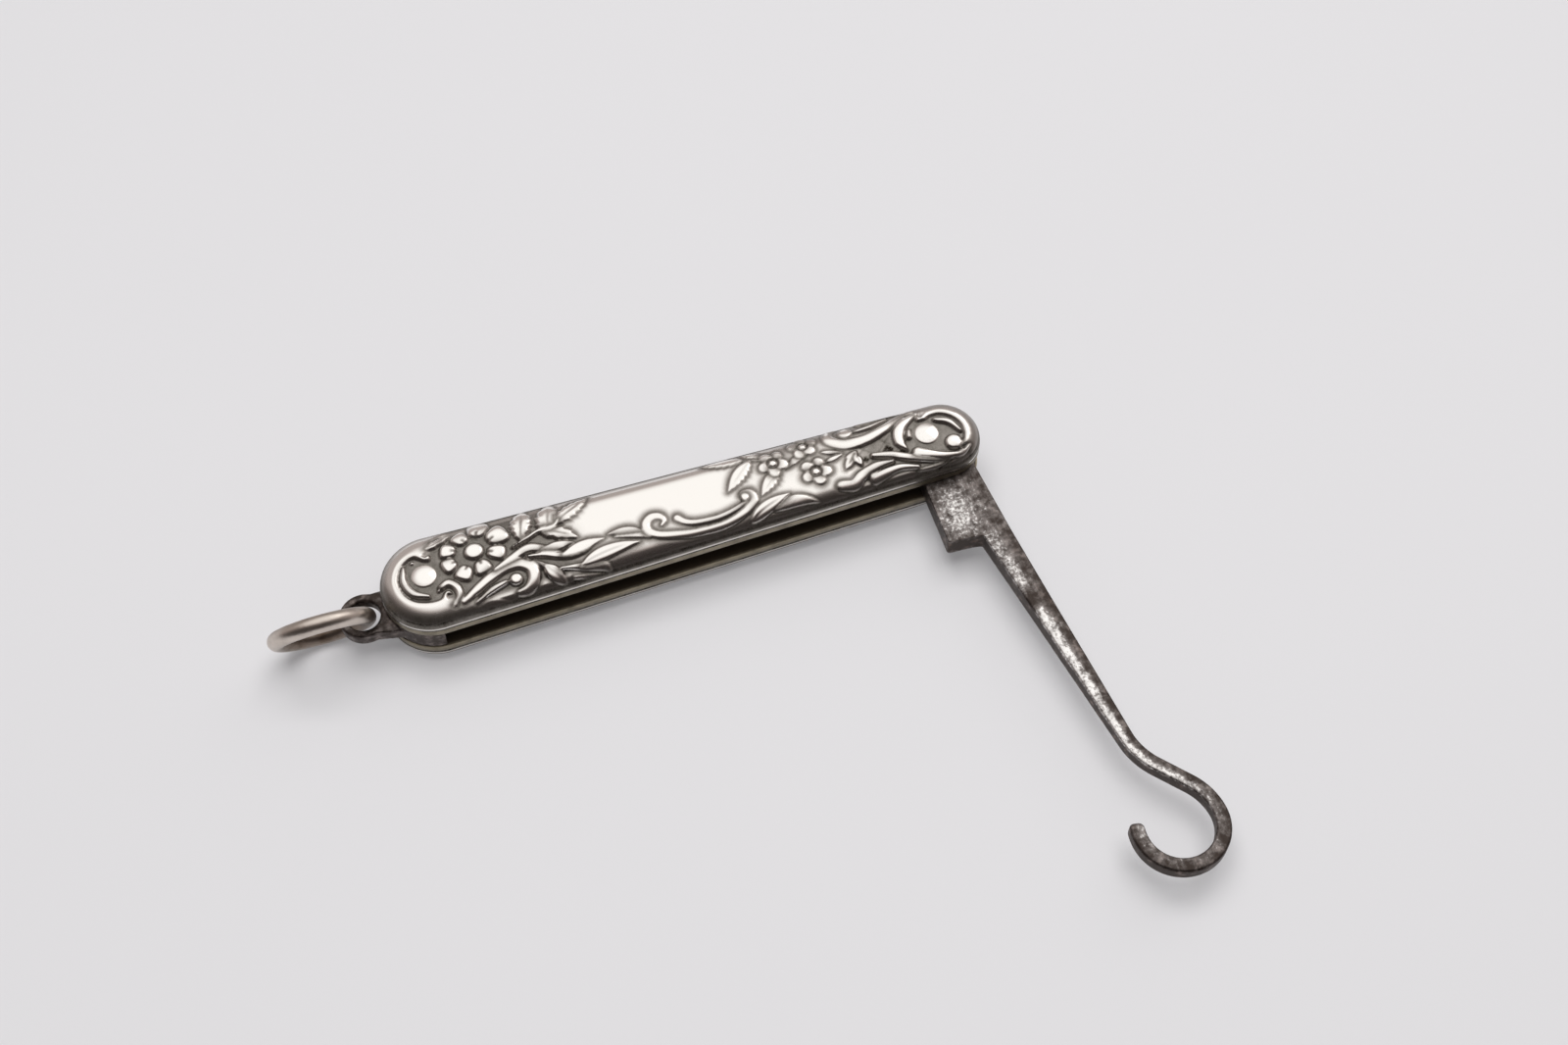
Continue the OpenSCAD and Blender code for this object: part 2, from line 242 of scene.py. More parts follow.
class Embossing:
    """Level and tarnish of the worked silver over the plan of a scale.

    Points and sizes are in millimetres. X is that of the frame, and y is from the middle of the handle.
    The level is measured from the smooth dome, and the highest ornament reaches it.
    Tarnish runs from 0 for polished silver to 1 for black oxide, and it also holds painted shade on the
    shoulders of the dome."""

    relief = 0.2  # least height of a motif
    edge_cut = 0.05  # depth of the line round a motif
    line_reach = 0.17  # how far that line spreads
    halo_reach = 0.45  # how far the stain beside it spreads
    halo = 0.66  # tarnish of that stain
    clean = 0.02  # tarnish of the polished silver
    tooth = 0.26  # depth of the teeth of a leaf, as a share of its half width
    vein_width = 0.09
    plain_reach = 4.5  # how far a scroll with a plain side looks for the dome
    plain_ends = 14  # steps of the curve in which the plain side begins and ends
    seat_tarnish = 0.72
    seat_slope = 0.25  # width of the slope round a seat

    def __init__(self, x, y, rim, ground, panel):
        self.x, self.y = x, y
        # Matted ground takes both ends of the scale, and smoke darkens the flowers.
        field = np.maximum(smooth_step(-9.5, -14.0, x + 0.35 * y), smooth_step(17.0, 20.5, x - 0.3 * y))
        field = field * smooth_step(0.86, 0.74, np.where(y < 0, rim, rim - 0.1))
        smoke = swell(x, 12.5, 4.5) * swell(y, 2.2, 1.9)
        matted = 0.68 - 0.03 * (x > 0)
        self.level = -panel - (ground - panel) * field
        self.tarnish_and_shade = np.maximum(self.clean + matted * field, 0.4 * smoke)

    def near(self, points, reach):
        """Numbers of the grid points that a motif can touch."""
        reach = reach + 2.5 * self.halo_reach
        low, high = np.min(points, axis=0) - reach, np.max(points, axis=0) + reach
        inside = (self.x > low[0]) & (self.x < high[0]) & (self.y > low[1]) & (self.y < high[1])
        return np.nonzero(inside)[0]

    def local(self, at, origin, axis):
        """Places of grid points along and across an axis through an origin."""
        dx, dy = self.x[at] - origin[0], self.y[at] - origin[1]
        return dx * axis[0] + dy * axis[1], dy * axis[0] - dx * axis[1]

    def lift(self, at, outside, shoulder, top=0.0, flat=2.4):
        """Raises a motif with a rounded edge, and cuts and darkens the line round it.

        A higher value of flat gives it a broader top."""
        crown = (1.0 - (1.0 - np.clip(-outside / shoulder, 0.0, 1.0)) ** flat) ** (1.0 / flat)
        level, tarnish_and_shade = self.level[at], self.tarnish_and_shade[at]
        foot = np.minimum(level - self.edge_cut, top - self.relief)
        gap = np.maximum(outside, 0.0)
        line = swell(gap, 0.0, self.line_reach)
        stain = np.maximum(line, self.halo * swell(gap, 0.0, self.halo_reach))
        inside = outside < 0.0
        # The top is clean, and its shoulder darkens toward the line.
        self.level[at] = np.where(inside, mix(foot, top, crown), level - self.edge_cut * line)
        self.tarnish_and_shade[at] = np.where(inside, 0.95 * (1.0 - crown) ** 1.2, np.maximum(tarnish_and_shade, stain))

    def lift_ring(self, at, ring, width, top=0.0):
        """Raises a round motif, whose edge is where ring is 1."""
        self.lift(at, (ring - 1.0) * width / 2, 0.4 * width, top, flat=3.0)

    def sink(self, at, shape, depth, dark):
        """Presses a shape of 0 to 1 into the silver and darkens it."""
        self.level[at] -= depth * shape
        self.tarnish_and_shade[at] = np.maximum(self.tarnish_and_shade[at], dark * shape)

    def cut(self, points, width, depth):
        """An engraved line."""
        path, _ = curve_through(points)
        at = self.near(path, 4 * width)
        gap = np.min(np.hypot(self.x[at, None] - path[:, 0], self.y[at, None] - path[:, 1]), axis=1)
        self.sink(at, swell(gap, 0.0, width), depth, 0.9)

    def stroke(self, points, widths, top=0.0, plain_side=0):
        """A rounded stem or scroll through the points, as wide at each as the widths say.

        On its plain side, 1 for left and -1 for right, it runs out into the smooth dome."""
        path, along = curve_through(points)
        half = np.interp(along, np.linspace(0, len(points) - 1, len(widths)), widths) / 2
        at = self.near(path, max(widths) + self.plain_reach * abs(plain_side))
        reach = np.hypot(self.x[at, None] - path[:, 0], self.y[at, None] - path[:, 1]) - half
        nearest = np.argmin(reach, axis=1)
        outside = reach[np.arange(len(at)), nearest]
        if plain_side:
            _, left = self.local(at, path[nearest].T, np.gradient(path, axis=0)[nearest].T)
            to_end = np.minimum(nearest, len(path) - 1 - nearest)
            plain = (left * plain_side > 0) & (to_end > 0)
            dome, part = at[plain], smooth_step(0, self.plain_ends, to_end)[plain]
            self.level[dome] = mix(self.level[dome], top, part)
            self.tarnish_and_shade[dome] = mix(self.tarnish_and_shade[dome], self.clean, part)
            at, outside, nearest = at[~plain], outside[~plain], nearest[~plain]
        self.lift(at, outside, half[nearest], top)

    def bead(self, centre, radius, top=0.0):
        self.oval(centre, 2 * radius, 2 * radius, top=top)

    def oval(self, centre, long, wide, degrees=0.0, top=0.0):
        at = self.near([centre], max(long, wide))
        out, aside = self.local(at, centre, heading(degrees))
        self.lift_ring(at, np.hypot(out * 2 / long, aside * 2 / wide), min(long, wide), top)

    def leaf(self, base, tip, width, bend=0.0, teeth=0, sides=(1, 1), vein=0.0, blunt=0.75, widest=0.8):
        """A leaf with a bent middle line, a cut vein, and teeth on its left and right sides."""
        base, tip = np.array(base, float), np.array(tip, float)
        size = np.linalg.norm(tip - base)
        at = self.near([base, tip], width + abs(bend))
        u, v = self.local(at, base, (tip - base) / size)
        u = u / size
        v = v - bend * 4 * u * (1 - u)
        inner = np.clip(u, 0.0, 1.0)
        half = width / 2 * np.sin(np.pi * inner ** widest) ** blunt
        if teeth:
            half = half * (1.0 - self.tooth * np.where(v > 0, *sides) * (1.0 - (inner * teeth) % 1.0))
        past = np.maximum(np.maximum(-u, u - 1.0), 0.0) * size
        outside = np.where(past > 0, np.hypot(past, v), np.abs(v) - half)
        self.lift(at, outside, 0.28 * width)
        rib = swell(v, 0.0, self.vein_width) * smooth_step(0.0, 0.15, u) * smooth_step(0.85, 0.55, u)
        self.sink(at, np.where(outside < -self.edge_cut, rib, 0.0), vein, 0.85 * min(1.0, vein * 12))

    def petal(self, centre, heart, long, wide, square=2.8):
        """A squarish petal, narrower toward the heart of its flower and creased there."""
        inward = np.array(heart) - centre
        inward = inward / np.linalg.norm(inward)
        at = self.near([centre], max(long, wide))
        out, aside = self.local(at, centre, -inward)
        out = out * 2 / long
        aside = aside * 2 / (wide * (1.0 + 0.2 * np.clip(out, -1.0, 1.0)))
        ring = (np.abs(out) ** square + np.abs(aside) ** square) ** (1 / square)
        self.lift_ring(at, ring, min(long, wide))
        self.cut([centre + part * max(long, wide) * inward for part in (0.56, 0.21)], 0.12, 0.1)

    def well(self, centre, width, degrees, depth, slope=0.08):
        """A square sunk into the ground."""
        at = self.near([centre], width)
        out = np.max(np.abs(self.local(at, centre, heading(degrees))), axis=0)
        self.sink(at, smooth_step(width / 2 + slope, width / 2 - slope, out), depth, 0.98)

    def flower(self, centre, radius, degrees, petals=5):
        """Round petals about a ringed bead."""
        for i in range(petals):
            turned = degrees + 360 * i / petals
            self.oval(centre + 0.62 * radius * heading(turned), 0.9 * radius, 0.84 * radius, turned)
        at = self.near([centre], radius)
        gap = np.hypot(self.x[at] - centre[0], self.y[at] - centre[1])
        self.sink(at, smooth_step(0.46 * radius, 0.36 * radius, gap), 0.12, 0.95)
        self.bead(centre, 0.27 * radius, -0.02)

    def seat(self, centre, radius, depth):
        """The flat seat of a pin head."""
        gap = np.hypot(self.x - centre[0], self.y - centre[1])
        inside = smooth_step(radius + self.seat_slope, radius, gap)
        self.level = mix(self.level, -depth, inside)
        self.tarnish_and_shade = mix(self.tarnish_and_shade, self.seat_tarnish, inside)

    def age(self, rim, ground, across):
        """Softens the work, and lays a film of tarnish and grime toward the edge of the scale, with painted
        shade on the shoulders of the dome toward the nose.
        """
        # The work ends at a plain hem, and rim is the share of the way out to the edge.
        hem = smooth_step(0.985, 0.95, rim)
        near_tail = smooth_step(-19, -26, self.x) * smooth_step(1.5, -1.5, self.y)
        film_and_shade = (0.48 + 0.22 * near_tail) * smooth_step(0.8 - 0.1 * near_tail, 0.92 - 0.04 * near_tail, rim)
        # Painted shade: the shoulders of the dome, from the middle toward the nose, are darkened in colour
        # on both scales.
        film_and_shade = np.maximum(film_and_shade, 0.5 * smooth_step(0.62, 0.8, rim) * smooth_step(6, 15, self.x))
        film_and_shade = film_and_shade * (self.tarnish_and_shade > self.clean / 2)
        grime = np.maximum(0.75 * smooth_step(0.945, 0.97, rim), 0.9 * swell(rim, 0.955, 0.022))
        grime = grime * smooth_step(1.0, 0.997, rim)
        tarnish_and_shade = np.maximum(np.maximum(self.tarnish_and_shade, film_and_shade) * hem, grime)
        self.tarnish_and_shade = soften(np.clip(1.08 * tarnish_and_shade, 0.0, 1.0), across)
        self.level = soften(np.clip(self.level, -ground - self.edge_cut, 0.0) * hem, across)


def heading(degrees):
    """Unit direction in plan."""
    return np.array((math.cos(math.radians(degrees)), math.sin(math.radians(degrees))))


def soften(values, across):
    """Values of a grid, each blended a little with its neighbours."""
    rows = values.reshape(-1, across)
    for axis in (0, 1):
        rows = 0.5 * rows + 0.25 * (np.roll(rows, 1, axis) + np.roll(rows, -1, axis))
    return rows.ravel()


def work_tail_end(silver):
    """C-scroll round the tail pin, large flower, leaf spray and acanthus."""
    silver.stroke([(-28.3, 1.7), (-28.6, 0.1), (-28.0, -1.4), (-26.6, -2.2)], [0.55, 0.9, 0.95, 0.5])
    silver.stroke([(-25.8, 2.1), (-27.1, 3.1), (-28.8, 2.5), (-29.8, 0.8), (-29.6, -1.2), (-28.5, -2.7),
                   (-26.8, -3.4), (-25.3, -3.3), (-24.7, -2.5)],
                  [0.9, 1.1, 1.4, 1.5, 1.5, 1.4, 1.3, 1.1, 0.8], plain_side=-1)
    silver.stroke([(-25.2, -1.6), (-24.4, -1.3), (-23.7, -2.0), (-23.6, -3.0), (-24.3, -3.9)],
                  [0.7, 0.9, 0.9, 0.8, 0.5])
    silver.bead((-25.5, -1.9), 0.17, -0.12)
    silver.bead((-27.3, 2.0), 0.2, -0.14)
    silver.leaf((-25.7, 3.1), (-22.7, 4.2), 1.0, vein=0.05, teeth=3)
    heart = (-21.1, 1.4)
    for x, y, long, wide in ((-22.1, 3.3, 1.75, 1.75), (-20.2, 4.0, 2.1, 2.2), (-18.5, 2.5, 2.3, 2.3),
                             (-19.0, 0.6, 2.0, 1.65), (-20.7, -0.6, 1.75, 1.8), (-22.6, -0.7, 1.8, 1.75),
                             (-23.8, 0.6, 1.6, 1.65), (-23.6, 2.2, 1.7, 1.65)):
        silver.petal((x, y), heart, long, wide)
    silver.oval(heart, 2.05, 1.9)
    silver.leaf((-16.4, 1.0), (-15.4, 4.9), 2.6, teeth=6, blunt=0.6, widest=1.1, vein=0.08)
    silver.leaf((-13.7, 0.5), (-12.7, 4.8), 2.9, teeth=5, blunt=0.6, widest=1.0, vein=0.07)
    silver.leaf((-12.7, 1.9), (-8.7, 4.1), 1.9, teeth=6, vein=0.06)
    silver.leaf((-13.8, 1.4), (-10.8, -0.4), 1.8, bend=0.1, teeth=4, vein=0.07)
    silver.stroke([(-17.4, 0.6), (-15.8, 1.1), (-14.4, 1.6), (-12.9, 1.6), (-12.2, 2.2)],
                  [0.25, 0.5, 0.55, 0.45, 0.2])
    silver.stroke([(-22.2, -4.2), (-20.4, -3.4), (-18.9, -3.0)], [0.4, 0.8, 0.6])
    silver.stroke([(-15.7, -1.6), (-14.6, -2.7), (-13.7, -3.7)], [0.5, 0.9, 0.9])
    silver.leaf((-14.8, -2.4), (-13.2, -4.9), 1.6, vein=0.03)
    silver.stroke([(-13.3, -3.2), (-11.3, -3.6), (-9.3, -4.1), (-8.9, -4.5)], [0.4, 0.9, 1.0, 0.8])
    silver.stroke([(-12.3, -4.4), (-9.2, -4.9)], [0.4, 0.5], -0.04)
    silver.stroke([(-23.4, -3.8), (-21.8, -2.9), (-20.4, -2.1), (-18.6, -1.4), (-17.1, -1.4), (-16.1, -2.3),
                   (-16.2, -3.5), (-17.0, -4.3), (-17.9, -4.4)],
                  [0.7, 1.1, 1.2, 1.2, 1.3, 1.4, 1.3, 1.1, 0.7])
    silver.bead((-17.9, -3.0), 0.68)
    silver.stroke([(-19.6, -1.3), (-17.8, -0.6), (-15.9, 0.0), (-14.5, -0.5)], [0.4, 0.9, 1.2, 1.1])
    silver.leaf((-15.0, -1.0), (-11.2, -0.8), 1.3, bend=0.2)
    silver.stroke([(-16.2, -0.9), (-14.6, -1.2), (-13.3, -1.7), (-12.0, -2.0), (-10.6, -1.9), (-9.2, -1.4)],
                  [0.4, 0.7, 0.9, 1.0, 0.9, 0.4])
    silver.leaf((-12.9, -1.9), (-8.3, -1.3), 1.3, bend=0.15)
    silver.leaf((-11.4, -3.5), (-5.0, -2.8), 1.5, bend=0.35, vein=0.03)


def work_middle(silver):
    """Long S-scroll along the slot side, with the polished panel above it."""
    silver.leaf((-4.2, -2.1), (-8.1, -1.0), 1.2, bend=-0.3)
    silver.stroke([(-7.4, -1.5), (-5.6, -2.0), (-4.0, -2.4)], [0.2, 0.5, 0.8])
    silver.stroke([(-0.8, -1.4), (-0.1, -2.1), (1.1, -2.5), (3.4, -2.6), (5.6, -2.1), (6.6, -1.4)],
                  [0.9, 0.8, 0.7, 0.65, 0.65, 0.5])
    silver.stroke([(-2.5, -1.7), (-2.1, -1.2), (-2.5, -0.6), (-3.3, -0.5), (-4.0, -1.1), (-3.9, -2.0),
                   (-3.0, -2.7), (-1.2, -3.2), (0.7, -3.5), (3.7, -3.5), (6.0, -2.8), (7.2, -1.8),
                   (7.0, -0.9), (6.3, -0.8), (6.2, -1.4)],
                  [0.4, 0.6, 0.9, 1.0, 1.0, 1.0, 0.9, 0.85, 0.8, 0.8, 0.9, 1.05, 1.05, 0.8, 0.5])
    silver.bead((6.4, -1.2), 0.42)
    silver.leaf((8.6, -3.5), (13.6, -3.9), 1.3, bend=0.6)
    silver.leaf((6.2, -4.0), (10.9, -2.2), 1.4, bend=0.25, vein=0.04)


def work_flowers(silver):
    """Serrated leaves and three flowers on a twig."""
    one_edge = (1, 0)
    silver.stroke([(7.0, 3.2), (8.6, 2.8), (9.6, 2.3)], [0.25, 0.4, 0.4])
    silver.leaf((7.6, 3.2), (3.3, 3.9), 1.3, teeth=6, sides=one_edge)
    silver.leaf((9.6, 3.0), (7.4, 4.0), 0.9, teeth=3)
    silver.leaf((8.2, 2.8), (4.9, -0.2), 1.65, teeth=7, sides=one_edge, vein=0.02)
    silver.leaf((10.7, 0.9), (8.0, -1.7), 1.6, teeth=6, sides=one_edge, vein=0.03)
    silver.leaf((14.2, 1.9), (11.3, 0.6), 1.0, bend=-0.1, teeth=3, sides=one_edge)
    silver.leaf((15.3, 1.4), (17.7, 0.6), 0.6)
    silver.leaf((15.4, 0.1), (17.5, 0.5), 0.6)
    silver.leaf((18.9, 0.5), (17.1, -1.4), 1.4, teeth=2, vein=0.08)
    silver.leaf((18.6, 0.0), (18.9, -1.5), 0.9, vein=0.04)
    silver.flower((10.3, 1.7), 1.55, degrees=50)
    silver.flower((13.8, 2.8), 1.5, degrees=20)
    silver.flower((14.2, -0.6), 1.6, degrees=60)


def work_nose_end(silver):
    """Trellis, the scrolls round the pivot pin and the acanthus under them."""
    for start, end in (((18.7, 1.3), (22.1, -1.8)), ((21.35, 1.3), (24.8, -1.8)),
                       ((20.5, 1.3), (18.7, -0.3)), ((22.75, 1.3), (19.3, -1.8)),
                       ((25.0, 1.3), (21.6, -1.8)), ((25.6, -0.2), (23.9, -1.8))):
        silver.cut([start, end], 0.1, 0.05)
    for centre, width in (((19.55, -0.75), 0.65), ((22.1, -0.3), 1.0), ((23.3, -1.2), 0.9)):
        silver.well(centre, width, 43, 0.05)
    silver.stroke([(20.0, 4.0), (22.4, 4.1), (24.2, 4.0)], [0.4, 0.5, 0.2])
    silver.stroke([(19.3, 2.8), (21.2, 3.0), (23.2, 3.5)], [0.3, 0.55, 0.3])
    silver.stroke([(17.6, 4.2), (16.7, 3.6), (16.7, 2.5), (18.0, 1.6), (20.1, 1.5), (22.3, 2.1), (24.6, 3.2),
                   (26.2, 3.8)], [0.7, 1.2, 1.35, 1.4, 1.3, 1.2, 1.0, 0.5])
    silver.bead((18.5, 3.1), 0.8)
    silver.oval((24.7, 0.7), 1.3, 0.8, 70)
    silver.stroke([(26.2, 2.9), (24.8, 2.3), (23.8, 1.3), (23.5, 0.1), (23.9, -1.0)],
                  [0.6, 1.15, 1.35, 1.2, 0.3])
    silver.stroke([(27.8, 1.5), (29.1, 0.9), (29.9, -0.5)], [0.5, 0.8, 0.5])
    silver.stroke([(26.5, 2.2), (27.3, 2.7), (28.6, 2.7), (29.8, 2.0), (30.7, 0.8), (30.9, -0.5),
                   (30.5, -1.7), (29.4, -2.4)], [1.1, 1.2, 1.2, 1.2, 1.25, 1.25, 1.2, 1.0], plain_side=1)
    silver.bead((28.8, -1.6), 0.92)
    silver.stroke([(24.2, -3.5), (26.0, -3.6), (28.0, -3.3)], [0.3, 0.5, 0.2])
    silver.stroke([(20.4, -0.6), (22.2, -1.1), (24.0, -2.0), (26.0, -2.8), (28.0, -3.2)],
                  [0.7, 1.0, 1.05, 0.9, 0.4])
    silver.stroke([(16.2, -3.0), (17.5, -3.2), (18.6, -2.5), (20.3, -1.9), (22.0, -1.9)],
                  [1.1, 1.2, 1.3, 1.15, 0.5])
    silver.stroke([(19.7, -3.2), (21.2, -2.9), (22.6, -2.8), (24.4, -3.2)], [1.2, 1.1, 0.9, 0.5])
    silver.stroke([(24.9, -1.6), (26.0, -2.2), (27.4, -2.8), (29.2, -3.0), (30.4, -2.3)],
                  [1.25, 1.0, 0.8, 0.6, 0.3])


class ScalePlan:
    """Plan, dome and outline of a scale, from a square grid laid over it."""

    def __init__(self, sizes):
        self.tail_r, self.nose_r = sizes.tail_radius, sizes.nose_radius
        self.tail_x = SCALE_LOW.x + self.tail_r
        self.body = SCALE_HIGH.x - self.nose_r - self.tail_x
        self.total = self.tail_r + self.body + self.nose_r
        self.flank, self.share = sizes.flank, sizes.shoulder
        self.height = SCALE_HIGH.z - SCALE_LOW.z
        self.rim = np.linspace(0.0, 1.0, 2001)
        run = np.hypot(np.diff(self.rim) * self.tail_r, np.diff(self.dome(self.rim)))
        walked = np.concatenate([[0.0], np.cumsum(run)])
        self.walked = walked / walked[-1]

    def dome(self, rim):
        """Height of the dome at a share of the way from the middle line to the edge."""
        e = np.clip((rim - 1.0 + self.share) / self.share, 0.0, 1.0)
        return mix(self.flank, self.height, np.sqrt(1.0 - e * e))

    def lay(self, s, t):
        """Middle-line x, outward direction, local radius and share of the way out, for a square grid."""
        way = (s + 1) / 2 * self.total - self.tail_r
        u = np.clip(np.where(way < 0, -way / self.tail_r, (way - self.body) / self.nose_r), 0.0, 1.0)
        across = np.where(way < 0, -u, u) * np.sqrt(1 - t * t / 2)
        up = t * np.sqrt(1 - u * u / 2)
        out = np.hypot(across, up)
        safe = np.maximum(out, 1e-9)
        part = np.clip(way / self.body, 0.0, 1.0)
        middle, radius = self.tail_x + part * self.body, mix(self.tail_r, self.nose_r, part)
        return middle, across / safe, up / safe, radius, np.interp(out, self.walked, self.rim)


def scale_mesh(sizes):
    """The front scale: an embossed dome with an upright edge and a hollow underside."""
    plan = ScalePlan(sizes)
    bm = bmesh.new()
    along = int(plan.total / sizes.cell)
    arc = 2 * plan.tail_r * (1 + 0.26 * plan.share)
    bmesh.ops.create_grid(bm, x_segments=along, y_segments=int(arc / sizes.cell), size=1)
    grid = np.array([v.co for v in bm.verts])
    middle, gx, gy, radius, rim = plan.lay(grid[:, 0], grid[:, 1])
    x, y, z = middle + gx * rim * radius, gy * rim * radius, plan.dome(rim)

    ground = sizes.ground / MM
    silver = Embossing(x / MM, y / MM, rim, ground, sizes.panel / MM)
    for work in (work_middle, work_flowers, work_tail_end, work_nose_end):
        work(silver)
    for pin in (PIVOT, TAIL_PIN):
        silver.seat((pin.x / MM, (pin.y - SIDE_Y) / MM), sizes.seat / MM, ground)
    silver.age(rim, ground, along + 1)

    tilt = -np.interp(rim, plan.rim, np.gradient(plan.dome(plan.rim), plan.rim)) / radius
    press = silver.level * MM / np.sqrt(1 + tilt * tilt)
    x, y, z = x + press * gx * tilt, y + press * gy * tilt + SIDE_Y, z + press + SCALE_LOW.z
    layer = bm.verts.layers.float.new("tarnish_and_shade")
    for i, v in enumerate(bm.verts):
        v.co = (x[i], y[i], z[i])
        v[layer] = silver.tarnish_and_shade[i]

    hollow_out(bm, plan, sizes, {v: (middle[i], gx[i], gy[i], radius[i]) for i, v in enumerate(bm.verts)})
    bmesh.ops.recalc_face_normals(bm, faces=bm.faces[:])
    return bm


def extrude_rim(bm, edges):
    """Extrudes open edges, and gives the new point of each old one and the new open edges."""
    old = {v for e in edges for v in e.verts}
    made = bmesh.ops.extrude_edge_only(bm, edges=edges)["geom"]
    fresh = {g for g in made if isinstance(g, bmesh.types.BMVert)}
    raised = {v: next(e.other_vert(v) for e in v.link_edges if e.other_vert(v) in fresh) for v in old}
    return raised, [g for g in made if isinstance(g, bmesh.types.BMEdge) and g.is_boundary]


def hollow_out(bm, plan, sizes, place):
    """Takes the edge down to the liner, round under it and up into the hollow of the scale."""
    layer, inner_tarnish = bm.verts.layers.float["tarnish_and_shade"], 0.9
    inner_height = plan.height - sizes.ground - 0.45 * sizes.wall
    inner_round = 0.8 * plan.tail_r * plan.share
    rim_steps = [(0.0, 0.72 * plan.flank), (0.0, 0.0), (sizes.wall, 0.0)]
    for degrees in (0, 30, 50, 70, 90):
        inward, upward = heading(degrees)
        rim_steps.append((sizes.wall + inner_round * (1 - inward), mix(plan.flank, inner_height, upward)))
    edges = [e for e in bm.edges if e.is_boundary]
    for inset, height in rim_steps:
        raised, edges = extrude_rim(bm, edges)
        for old, v in raised.items():
            place[v] = place[old]
            middle, gx, gy, radius = place[v]
            v.co = (middle + gx * (radius - inset), gy * (radius - inset) + SIDE_Y, SCALE_LOW.z + height)
            v[layer] = inner_tarnish
    bmesh.ops.edgeloop_fill(bm, edges=edges)


def plate(sizes, low, high):
    """A flat plate with the outline of the handle, from one circle whose halves are moved to the ends.

    Its rounded edges carry the value edge."""
    bm = bmesh.new()
    for v in bmesh.ops.create_circle(bm, cap_ends=True, radius=1.0, segments=128)["verts"]:
        tail = v.co.x < 1e-6
        radius = sizes.tail_radius if tail else sizes.nose_radius
        middle = SCALE_LOW.x + radius if tail else SCALE_HIGH.x - radius
        v.co = (middle + v.co.x * radius, SIDE_Y + v.co.y * radius, low)
    made = bmesh.ops.extrude_face_region(bm, geom=bm.faces[:])["geom"]
    raised = [g for g in made if isinstance(g, bmesh.types.BMVert)]
    bmesh.ops.translate(bm, vec=(0, 0, high - low), verts=raised)
    bmesh.ops.recalc_face_normals(bm, faces=bm.faces[:])
    rims = [e for e in bm.edges if e.calc_face_angle(0.0) > 1.0]
    bmesh.ops.bevel(bm, geom=rims, offset=sizes.edge_round, segments=2, profile=0.5, affect="EDGES",
                    material=-1)
    layer = bm.verts.layers.float.new("edge")
    for v in bm.verts:
        v[layer] = 1.0
    faces = [f for f in bm.faces if abs(f.normal.z) > 0.99]
    bmesh.ops.inset_individual(bm, faces=faces, thickness=4 * sizes.edge_round)
    for f in faces:
        for v in f.verts:
            v[layer] = 0.0
    return bm


def section(half_w, half_t, rounding, corner_steps=6, face_steps=6):
    """Outline of a bar with rounded edges, anticlockwise from the inner top corner."""
    r = min(rounding, 0.98 * min(half_w, half_t))
    corners = []
    for i, side in enumerate(((-1, 1), (-1, -1), (1, -1), (1, 1))):
        centre = np.array(side) * (half_w - r, half_t - r)
        turns = 90 * (i + 1 + np.linspace(0, 1, corner_steps + 1))
        corners.append([centre + r * heading(degrees) for degrees in turns])
    points = []
    for corner, after in zip(corners, corners[1:] + corners[:1]):
        points += corner
        points += list(np.linspace(corner[-1], after[0], face_steps + 2)[1:-1])
    return points


def tang_edges(h, u):
    """Inner and outer edge of the tang at a distance from the pivot."""
    round_edge = math.sqrt(max(h.tang_radius ** 2 - u * u, 0.0))
    if u <= 0:
        return -round_edge, round_edge
    end = h.tang_length - h.step_run
    inner = -round_edge
    if u > h.waist_at:
        inner = min(inner, -mix(h.tang_waist, h.tang_in, (u - h.waist_at) / (end - h.waist_at)))
    if u > end - h.heel:
        past = min(1.0, (u - end + h.heel) / h.heel)
        inner += h.heel * (1.0 - math.sqrt(1.0 - past * past))
    if u > end:
        ease = 1.0 - (1.0 - min(1.0, (u - end) / h.step_run)) ** 1.8
        inner = mix(h.heel - h.tang_in, h.spine - h.shank_width, ease)
    return inner, h.tang_radius if u < h.shoulder_at else h.spine


